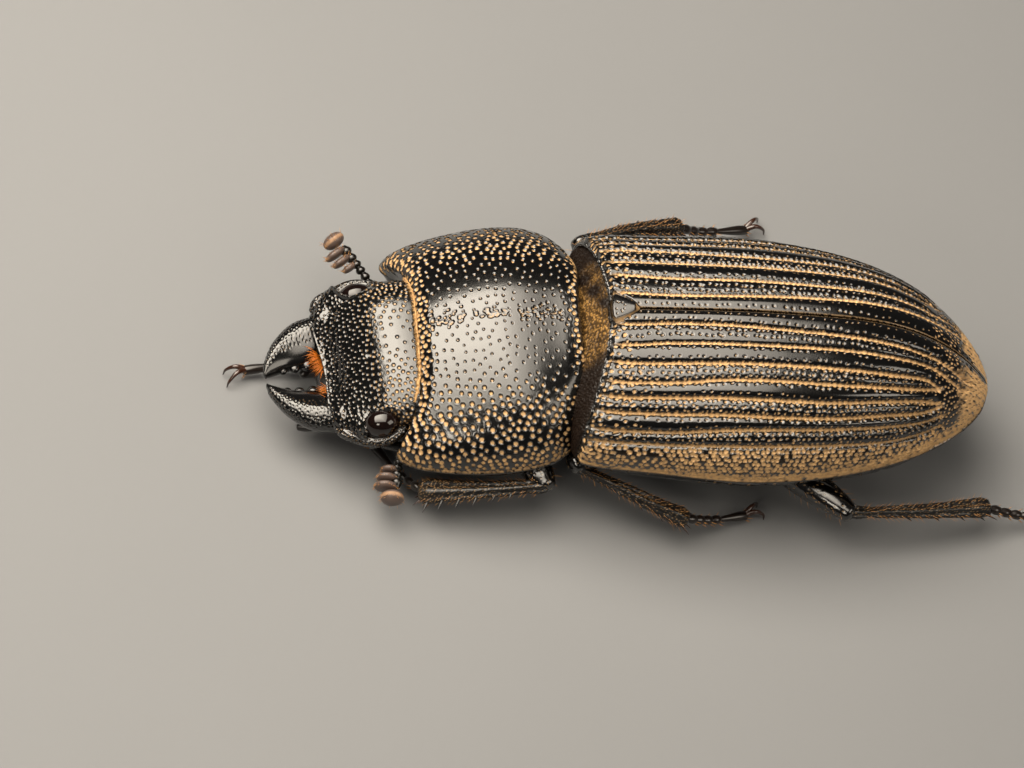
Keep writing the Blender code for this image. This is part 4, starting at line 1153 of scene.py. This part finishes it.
# Plates of the club: share of its length, push to the front, half sizes and bluntness
CLUB_PLATES = ((0.1, 0.2, (0.085, 0.2, 0.16), 0.62), (0.33, 0.26, (0.095, 0.27, 0.21), 0.62),
               (0.56, 0.28, (0.1, 0.29, 0.24), 0.62), (0.85, 0.1, (0.18, 0.29, 0.27), 0.8))


def make_feelers():
    """Elbowed feelers: long first joint, beaded stalk, and a club of plates leaning forward."""
    for name, side, seed in (("left", -1, 501), ("right", 1, 502)):
        elbow, middle, end, tip = (np.array(p) for p in FEELERS[name])
        root = np.array((-2.2, side * 1.66, -0.66))
        path = bow((root, (root + elbow) / 2 + (0, side * 0.08, -0.1), elbow), 60)
        t = np.linspace(0, 1, 60)
        item = tube_piece("scape_" + name, path, 0.1 + 0.06 * t ** 2, HEAD, 28)
        dress(item, PLAIN_SHELL, "antenna_scape_" + name, slot="black_shell")
        axis = unit(tip - end)
        line = bow((elbow, middle, end, end + axis * 0.5 * np.linalg.norm(tip - end)), 91)
        parts = []
        for index in range(6):
            a, b = line[index * 15], line[index * 15 + 15]
            parts.append(tube_piece("bead", bow((a, (a + b) / 2, b), len(BEAD)),
                                    (0.115 + 0.005 * index) * np.array(BEAD), HEAD, 24))
        dress(join("stalk_" + name, parts), PLAIN_SHELL, "antenna_stalk_" + name,
              slot="black_shell")
        make_club(name, side, line[46], tip, seed)


def make_club(name, side, start, tip, seed):
    """Four velvety plates with pale rims, the last one the thickest, and their fine hairs."""
    heading = unit(tip - start)
    lean = np.array((-1.0, -0.3 * (side > 0), 0.05))
    lean = unit(lean - heading * (lean @ heading))
    axes = np.stack([heading, lean, np.cross(heading, lean)])
    length = np.linalg.norm(tip - start)
    rise = np.linspace(-np.pi / 2, np.pi / 2, 40)[:, None]
    turn = full_turn(56)[None, :]
    parts, roots, aims = [], [], []
    draw = np.random.default_rng(seed)
    for share, push, size, blunt in CLUB_PLATES:
        centre = start + heading * (share * length) + lean * push
        if share == CLUB_PLATES[-1][0]:
            rim = 0.8 * smooth((np.cos(rise) * (1 + 0 * turn) - 0.93) / 0.07)
        else:
            rim = 0.8 * smooth((np.cos(rise) * np.cos(turn) - 0.72) / 0.25)
        parts.append(grid_piece("lamella", egg(centre, axes, size, 40, 56, blunt), HEAD,
                                {"fill": rim}))
        for _ in range(34):
            angle = draw.uniform(0, 2 * np.pi)
            way = axes[1] * math.cos(angle) + axes[2] * math.sin(angle)
            roots.append(centre + axes[1] * math.cos(angle) * size[1] * 0.95
                         + axes[2] * math.sin(angle) * size[2] * 0.95
                         + heading * draw.uniform(-0.4, 0.6) * size[0])
            aims.append(way * 0.6 + heading * draw.uniform(0.3, 1.0))
    dress(join("club_" + name, parts), CLUB, "antenna_club_" + name, slot="club")
    dress(hairs("club_hairs_" + name, roots, aims, draw.uniform(0.07, 0.14, len(roots)), 0.007,
                HEAD), BRISTLE)


# Legs

# Hip, knee, end of the shin, bend of the foot and root of the claws
LEGS = {
    "front_left": ((-12.1, -1.3, 1.1), (-11.1, -3.3, 1.4), (-14.1, -3.3, 0.8),
                   (-14.65, -2.5, 0.4), (-15.25, -1.55, 0.25)),
    "front_right": ((-12.4, 0.85, 1.15), (-13.75, 2.85, 1.1), (-16.2, 1.4, 0.7),
                    (-17.2, 0.8, 0.34), (-18.45, 0.5, 0.25)),
    "middle_left": ((-8.6, -1.45, 1.2), (-10.45, -2.85, 1.75), (-7.57, -3.7, 0.95),
                    (-6.8, -3.35, 0.5), (-5.9, -2.95, 0.25)),
    "middle_right": ((-8.6, 1.45, 1.2), (-10.15, 3.95, 2.0), (-7.5, 5.2, 1.25),
                     (-6.8, 5.55, 0.7), (-5.6, 6.05, 0.25)),
    "hind_left": ((-6.3, -1.3, 1.2), (-3.47, -3.5, 1.4), (0.1, -2.6, 0.8),
                  (1.0, -2.5, 0.45), (2.2, -2.4, 0.25)),
    "hind_right": ((-6.3, 1.3, 1.2), (-5.1, 4.15, 1.55), (-1.9, 3.5, 0.85),
                   (-1.25, 3.15, 0.45), (-0.3, 2.6, 0.25)),
}

# Joints of a foot: first and last of the points along it, and radius
FOOT_JOINTS = ((0, 16, 0.125), (15, 30, 0.125), (29, 44, 0.122), (43, 58, 0.12), (57, 100, 0.13))


def thorn(root, aim, length, radius):
    """Curved spike with a round root, drooping a little towards its tip."""
    t = np.linspace(0, 1, 14)[:, None]
    path = (root + unit(aim) * length * (t * 1.15 - 0.15)
            - np.array([0, 0, 1.0]) * 0.15 * length * t ** 2)
    return grid_piece("thorn", tube(path, radius * (1 - 0.9 * t[:, 0] ** 1.3), 12), BODY)


def make_leg(key, seed):
    """Hip, thigh, shin, foot and claws of one leg."""
    hip, knee, end, bend, root = (np.array(place, float) for place in LEGS[key])
    draw = np.random.default_rng(seed)
    level = np.array((knee[0] - hip[0], knee[1] - hip[1], 0.0))
    coxa = egg(hip, upright_axes(level), (0.71, 0.53, 0.56), 40, 56)
    dress(pitted_piece("hip_" + key, coxa, BODY, 90, 0.035, 0.014, 0.5, seed, 0.5), JOINT_SHELL,
          "coxa_" + key, slot="dark_joint")
    start = hip + unit(knee - hip) * 0.31
    middle = (start + knee) / 2 + (0, 0, 0.12)
    radii = 0.38 * along(((0, 0.5), (0.12, 0.62), (0.35, 0.9), (0.55, 1.0), (0.75, 0.94),
                          (0.9, 0.8), (1.0, 0.62)), np.linspace(0, 1, 80))
    thigh = tube(bow((start, middle, knee), 80), radii, 80, 1.12)
    item = pitted_piece("thigh_" + key, thigh, BODY, 220, 0.03, 0.012, 0.6, seed + 1, 0.5)
    dress(item, SHELL, "femur_" + key, slot="black_shell")
    make_shin(key, knee, end, draw, thigh, seed)
    make_foot(key, end, bend, root, draw)
    make_claws(key, bend, root)


def shin_path(knee, end, side, front):
    """Path and radii of a shin, widening to its end."""
    middle = (knee + end) / 2 + np.array((0.0, side * 0.08, 0.06))
    swell = along(((0, 0.75), (0.06, 0.88), (0.14, 0.74), (0.3, 0.82), (0.6, 1.0), (0.85, 1.22),
                   (0.95, 1.38), (1.0, 1.2)), np.linspace(0, 1, 110))
    return bow((knee, middle, end), 110), (0.2 if front else 0.175) * swell


def shin_grid(path, radii, front, seed):
    """Skin of a shin with six low ridges along it and a rough surface."""
    grid = tube(path, radii, 72, 1.3 if front else 1.12)
    inner = grid.mean(axis=1, keepdims=True)
    turn = np.linspace(-90, 270, 73)[None, :, None]
    ridges = 0.02 * np.cos(np.radians(turn * 6))
    grid = grid + unit(grid - inner) * ridges * np.linalg.norm(grid - inner, axis=-1,
                                                               keepdims=True) / 0.25
    grid = grid + 0.009 * (unit(grid - inner) * noise(grid, 24.0, seed)[..., None])
    grid[:, -1] = grid[:, 0]
    return grid


def make_shin(key, knee, end, draw, thigh, seed):
    """Shin with thorns down its outer edge, spurs at its end, and rows of bristles."""
    side, front = 1.0 if key.endswith("right") else -1.0, key.startswith("front")
    heading = unit(end - knee)
    path, radii = shin_path(knee + heading * 0.02, end, side, front)
    grid = shin_grid(path, radii, front, seed)
    parts = [pitted_piece("shin", grid, BODY, 1400, 0.027, 0.02, 0.6, seed + 2, 0.5)]
    outward = np.array((-heading[1], heading[0], 0.0))
    outward *= -1.0 if side * heading[0] < 0 else 1.0
    for place in (0.28, 0.42, 0.56, 0.7, 0.84, 0.96) if front else (0.4, 0.6, 0.78, 0.93):
        index = int(place * (len(path) - 1))
        length = (0.18 + 0.2 * place if front else 0.22) * draw.uniform(0.9, 1.1)
        parts.append(thorn(path[index] + outward * radii[index] * 0.9,
                           outward + heading * (0.45 if front else 0.9), length,
                           0.06 if front else 0.045))
    spurs = [thorn(end - heading * 0.05 + outward * out * 0.22,
                   heading + outward * out * 0.5 + np.array((0, 0, -0.2)),
                   draw.uniform(0.26, 0.36), 0.04) for out in (-0.9, -0.35, 0.35, 0.9)]
    dress(join("shin_" + key, parts), SHIN, "tibia_" + key, slot="black_shell")
    dress(join("spurs_" + key, spurs), CLAW)
    sets = [grid_hairs(grid, (0.12, 0.97), (75, 105, 165, 195, 255, 285, 345), 0.16, 1.0,
                       seed + 3),
            grid_hairs(thigh, (0.5, 0.95), (60, 120, 240, 300), 0.22, 1.2, seed + 4)]
    roots, aims = (np.concatenate(both) for both in zip(*sets))
    dress(hairs("bristles_" + key, roots, aims, draw.uniform(0.12, 0.24, len(roots)), 0.008,
                BODY, (0, 0, -0.08)), BRISTLE)


def make_foot(key, end, bend, root, draw):
    """Four short bell-shaped joints and a long one, each with a few hairs at its end."""
    line = bow((end + unit(bend - end) * 0.06, bend, root), 101)
    run = run_along(line)
    line = points_at(np.linspace(0, run[-1], len(line)), run, line)
    parts, roots, aims = [], [], []
    for a, b, size in FOOT_JOINTS:
        path = line[a:b + 1]
        t = np.linspace(0, 1, len(path))
        swell = smooth(t * (1.1 if b == FOOT_JOINTS[-1][1] else 1.35))
        radii = size * (0.5 + 0.5 * swell) * (1 - 0.12 * t ** 6)
        parts.append(grid_piece("joint", tube(path, radii, 28, 1.05), BODY))
        heading = unit(path[-1] - path[-3])
        across = unit(np.cross(heading, (0, 0, 1)))
        for turn in (-150, -120, -60, -30, 20, 160):
            angle = math.radians(turn)
            way = across * math.cos(angle) + np.array((0, 0, 1.0)) * math.sin(angle)
            for _ in range(2):
                roots.append(path[-2] + way * size * 0.85)
                aims.append(heading + way * 0.7 + draw.normal(size=3) * 0.1)
    dress(join("foot_" + key, parts), JOINT, "tarsus_" + key, slot="dark_joint")
    item = hairs("foot_hairs_" + key, roots, aims, draw.uniform(0.12, 0.2, len(roots)), 0.009,
                 BODY)
    clamp_to_floor(item)
    dress(item, BRISTLE)


def make_claws(key, bend, root):
    """Two curved claws that come down to the floor."""
    forward = unit(np.array((root[0] - bend[0], root[1] - bend[1], 0.0)))
    across = np.array((-forward[1], forward[0], 0.0))
    radii = 0.075 * (1 - 0.82 * np.linspace(0, 1, 40) ** 1.2)
    claws = []
    for turn in (-1, 1):
        tip = forward * 0.5 + across * (turn * 0.2 + 0.08)
        path = bow((root - forward * 0.06, root + tip * 0.45 + (0, 0, 0.13),
                    root + tip * 0.9 - (0, 0, 0.02), root + tip - (0, 0, 0.236)), 40)
        claws.append(grid_piece("claw", tube(path, radii, 20), BODY))
    item = join("claws_" + key, claws)
    clamp_to_floor(item)
    dress(item, CLAW)


def clamp_to_floor(item):
    for vert in item.data.vertices:
        vert.co.z = max(vert.co.z, 0.002 * MM)


# Materials

# Colour sockets of a mix node
MIX_LOW, MIX_HIGH, MIX_RESULT = 6, 7, 2


def new_material(name, base, roughness, coat=0.0):
    material = bpy.data.materials.new(name)
    material.use_nodes = True
    shader = material.node_tree.nodes["Principled BSDF"]
    shader.inputs["Base Color"].default_value = (*base, 1.0)
    shader.inputs["Roughness"].default_value = roughness
    shader.inputs["Coat Weight"].default_value = coat
    return material, material.node_tree, shader


def add_node(tree, kind, values=None, **settings):
    node = tree.nodes.new(kind)
    for key, value in settings.items():
        setattr(node, key, value)
    for key, value in (values or {}).items():
        node.inputs[key].default_value = value
    return node


def object_noise(tree, scale, detail=4.0):
    place = add_node(tree, "ShaderNodeTexCoord")
    grain = add_node(tree, "ShaderNodeTexNoise", {"Scale": scale, "Detail": detail})
    tree.links.new(place.outputs["Object"], grain.inputs["Vector"])
    return grain.outputs["Fac"]


def blend_colours(tree, amount, low, high):
    mix = add_node(tree, "ShaderNodeMix", data_type="RGBA")
    mix.inputs[MIX_LOW].default_value = (*low, 1.0)
    mix.inputs[MIX_HIGH].default_value = (*high, 1.0)
    tree.links.new(amount, mix.inputs[0])
    return mix


def span_values(tree, amount, low, high):
    spanned = add_node(tree, "ShaderNodeMapRange", {"To Min": low, "To Max": high})
    tree.links.new(amount, spanned.inputs["Value"])
    return spanned.outputs["Result"]


def add_bump(tree, shader, grain, strength, distance):
    bump = add_node(tree, "ShaderNodeBump", {"Strength": strength, "Distance": distance})
    tree.links.new(grain, bump.inputs["Height"])
    tree.links.new(bump.outputs["Normal"], shader.inputs["Normal"])


def shell_material(name, gloss=0.16, tan=(0.60, 0.37, 0.165), black=(0.0011, 0.0009, 0.0008),
                   coat=0.8):
    """Glossy black shell whose pits and grooves hold tan scales, by the fill attribute."""
    material, tree, shader = new_material(name, black, gloss, coat)
    shader.inputs["Coat Roughness"].default_value = 0.13
    shader.inputs["Specular IOR Level"].default_value = 0.5
    fill = add_node(tree, "ShaderNodeAttribute", attribute_name="fill").outputs["Fac"]
    tree.links.new(span_values(tree, fill, coat, 0.0), shader.inputs["Coat Weight"])
    patchy = object_noise(tree, 9000.0, 3.0)
    tans = blend_colours(tree, patchy, [c * 0.6 for c in tan], [min(c * 1.25, 1.0) for c in tan])
    shades = blend_colours(tree, fill, black, tan)
    tree.links.new(tans.outputs[MIX_RESULT], shades.inputs[MIX_HIGH])
    tree.links.new(shades.outputs[MIX_RESULT], shader.inputs["Base Color"])
    tree.links.new(span_values(tree, fill, gloss, 0.8), shader.inputs["Roughness"])
    add_bump(tree, shader, object_noise(tree, 26000.0, 2.0), 0.12, 0.00001)
    return material


def grained_material(name, low, high, roughness, scale, bump_size, coat=0.0):
    """Finish with a fine mottled colour and a grain."""
    material, tree, shader = new_material(name, low, roughness, coat)
    grain = object_noise(tree, scale)
    shades = blend_colours(tree, grain, low, high)
    tree.links.new(shades.outputs[MIX_RESULT], shader.inputs["Base Color"])
    add_bump(tree, shader, grain, 0.5, bump_size)
    return material


def waist_material():
    """Dark brown that turns golden where the gold mask is high. The mask's dark sides are painted
    shade, and its gold on the granule tops is partly a painted highlight.
    """
    material, tree, shader = new_material("golden_waist", (0.03, 0.015, 0.007), 0.5, 0.0)
    shader.inputs["Specular IOR Level"].default_value = 0.2
    gold_and_painted_light = add_node(tree, "ShaderNodeAttribute", attribute_name="gold_and_painted_light")
    fine = object_noise(tree, 9000.0)
    golds = blend_colours(tree, fine, (0.16, 0.078, 0.018), (0.52, 0.29, 0.08))
    # The low colour is the strip's own dark brown, kept this dark so that it serves as painted
    # shade at the strip's sides.
    shades = blend_colours(tree, gold_and_painted_light.outputs["Fac"], (0.007, 0.0032, 0.0014), (0.3, 0.15, 0.04))
    tree.links.new(golds.outputs[MIX_RESULT], shades.inputs[MIX_HIGH])
    tree.links.new(shades.outputs[MIX_RESULT], shader.inputs["Base Color"])
    return material


def dress(item, material, *nodes, slot=None):
    """Give a piece its finish, and say which CAD nodes it takes the place of."""
    item.data.materials.clear()
    item.data.materials.append(material)
    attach(item, "root")
    if nodes:
        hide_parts(*nodes)


SHELL = shell_material("pitted_black_shell")
JOINT_SHELL = shell_material("brown_pitted_shell", 0.22, (0.30, 0.16, 0.05),
                             (0.003, 0.0016, 0.0012))
SHIN = shell_material("dull_pitted_shell", 0.38, coat=0.12)
PLAIN_SHELL = grained_material("plain_black_shell", (0.0016, 0.0014, 0.0012), (0.005, 0.004, 0.003),
                               0.24, 4000.0, 0.000006, 0.3)
JOINT = grained_material("dark_brown_shell", (0.0025, 0.0018, 0.0015), (0.011, 0.006, 0.004), 0.28,
                         3000.0, 0.000006, 0.3)
EYE = grained_material("eye_brown", (0.002, 0.0008, 0.0006), (0.007, 0.0025, 0.0016), 0.07, 9000.0,
                       0.0000005, 0.3)
CLAW = grained_material("red_brown_claw", (0.014, 0.006, 0.004), (0.05, 0.017, 0.008), 0.2, 5000.0,
                        0.000002, 0.6)
WAIST = waist_material()
CLUB = shell_material("club_velvet", 0.42, (0.34, 0.20, 0.11), (0.085, 0.058, 0.048), 0.1)
BRISTLE = grained_material("orange_bristle", (0.28, 0.11, 0.03), (0.50, 0.26, 0.08), 0.45, 5000.0,
                           0.000002)
BRUSH = grained_material("mouth_brush", (0.50, 0.11, 0.006), (0.80, 0.26, 0.02), 0.4, 6000.0,
                         0.000002)
FRINGE = grained_material("golden_fringe", (0.30, 0.16, 0.055), (0.52, 0.31, 0.12), 0.5, 9000.0,
                          0.000004)
FLOOR = grained_material("pale_floor", (0.16, 0.165, 0.172), (0.178, 0.183, 0.191), 0.8, 60.0,
                         0.0001)


# Floor, light and camera

FLOOR_SIZE = 0.6
SURROUNDING_COLOUR = (1.0, 0.97, 0.93, 1.0)
SURROUNDING_STRENGTH = 0.06
LAMP_COLOUR = (1.0, 0.90, 0.76)

# Soft boxes: how many, their level over the floor in mm, and the strength of the first and of
# the others
SOFT_BOXES = 6
SOFT_BOX_LEVEL = 64.5
FIRST_BOX, OTHER_BOXES = 3.6, 1.5

# Small lamps: name, way to them from the middle of the animal, size and energy
LAMPS = (("left_lamp", (-0.45, -0.85, 0.7), (0.055, 0.045), 0.07),
         ("rear_lamp", (0.75, -0.45, 0.7), (0.12, 0.1), 0.13))
LAMP_DISTANCE = 0.2

# Camera: elevation, azimuth and roll in degrees, distance and sensor, the photograph's frame,
# its scale on the animal, and where the tip of the wing cases falls in it
CAMERA_ANGLES = (52.06, -12.293, 13.743)
CAMERA_DISTANCE = 0.4
SENSOR_WIDTH = 36.0
PHOTO_SIZE = (1024.0, 768.0)
PIXELS_PER_MM = 40.0
TIP_PIXEL = (987.8, 385.9)


# Putting the animal together

def make_plates():
    dress(make_elytron("wing_case_left", -1, 100), SHELL, "elytron_left", slot="black_shell")
    dress(make_elytron("wing_case_right", 1, 200), SHELL, "elytron_right", slot="black_shell")
    dress(make_shield(), SHELL, "prothorax", slot="black_shell")
    dress(make_head(), SHELL, "head", slot="black_shell")
    make_scutellum()
    make_waist()
    make_belly()


def make_small_parts():
    make_eyes()
    make_eye_ridges()
    make_mouth()
    make_feelers()
    for index, key in enumerate(LEGS):
        make_leg(key, 600 + 20 * index)


def make_stage():
    """Plain pale floor and a faint warm surrounding light."""
    deselect()
    bpy.ops.mesh.primitive_plane_add(size=FLOOR_SIZE, location=(0, 0, 0))
    floor = bpy.context.object
    floor.name = "floor"
    floor.data.materials.append(FLOOR)
    bpy.context.scene.view_settings.view_transform = "Standard"
    world = bpy.data.worlds.new("studio")
    bpy.context.scene.world = world
    world.use_nodes = True
    background = world.node_tree.nodes["Background"]
    background.inputs["Color"].default_value = SURROUNDING_COLOUR
    background.inputs["Strength"].default_value = SURROUNDING_STRENGTH


def add_light(name, place, aim, size, power_watts):
    light = bpy.data.lights.new(name, "AREA")
    light.shape = "RECTANGLE"
    light.size, light.size_y = size
    light.energy = power_watts
    light.color = LAMP_COLOUR
    item = bpy.data.objects.new(name, light)
    item.location = place
    heading = Vector(aim) - Vector(place)
    item.rotation_euler = heading.to_track_quat("-Z", "Y").to_euler()
    bpy.context.scene.collection.objects.link(item)


def add_soft_box(name, low, high, strength):
    """Rectangular light over the body, between two corners in its own frame in mm."""
    low, high = (BODY @ (Vector(corner) * MM) for corner in (low, high))
    centre, wide, deep = (low + high) / 2, high.x - low.x, high.y - low.y
    add_light(name, centre, centre - Vector((0, 0, 1)), (wide, deep),
              strength * math.pi * wide * deep)


def make_lights():
    """Nested soft boxes overhead, the first the brightest, and two small lamps lower down."""
    for step in range(SOFT_BOXES):
        t = step / (SOFT_BOXES - 1)
        level = SOFT_BOX_LEVEL - 0.1 * step
        add_soft_box("soft_box_%d" % step, (-76.0, -38.0 + 44.0 * t, level),
                     (5.0 - 36.0 * t, 52.0, level), OTHER_BOXES if step else FIRST_BOX)
    centre = BODY @ Vector((-0.009, 0.0, 0.003))
    for name, way, size, energy in LAMPS:
        add_light(name, centre + Vector(way) * LAMP_DISTANCE, centre, size, energy)


def make_camera():
    """Camera at the photographed angle: from the front left, 52 degrees up, long lens."""
    elevation, azimuth, roll = (math.radians(angle) for angle in CAMERA_ANGLES)
    back = Vector((math.sin(azimuth) * math.cos(elevation),
                   -math.cos(azimuth) * math.cos(elevation), math.sin(elevation)))
    level = Vector((math.cos(azimuth), math.sin(azimuth), 0.0))
    rise = back.cross(level)
    right = level * math.cos(roll) + rise * math.sin(roll)
    up = -level * math.sin(roll) + rise * math.cos(roll)
    scale = PIXELS_PER_MM / MM
    target = BODY @ Vector((0.0, 0.0, MARGIN_Z * MM))
    centre = (target - right * ((TIP_PIXEL[0] - PHOTO_SIZE[0] / 2) / scale)
              + up * ((TIP_PIXEL[1] - PHOTO_SIZE[1] / 2) / scale))
    camera = bpy.data.cameras.new("camera")
    camera.sensor_width = SENSOR_WIDTH
    camera.lens = SENSOR_WIDTH * CAMERA_DISTANCE * scale / PHOTO_SIZE[0]
    camera.clip_start = 0.02
    camera.clip_end = 5.0
    item = bpy.data.objects.new("camera", camera)
    item.matrix_world = Matrix.Translation(centre + back * CAMERA_DISTANCE) @ Matrix(
        (right, up, back)).transposed().to_4x4()
    bpy.context.scene.collection.objects.link(item)
    bpy.context.scene.camera = item


make_plates()
make_small_parts()
make_stage()
make_lights()
make_camera()
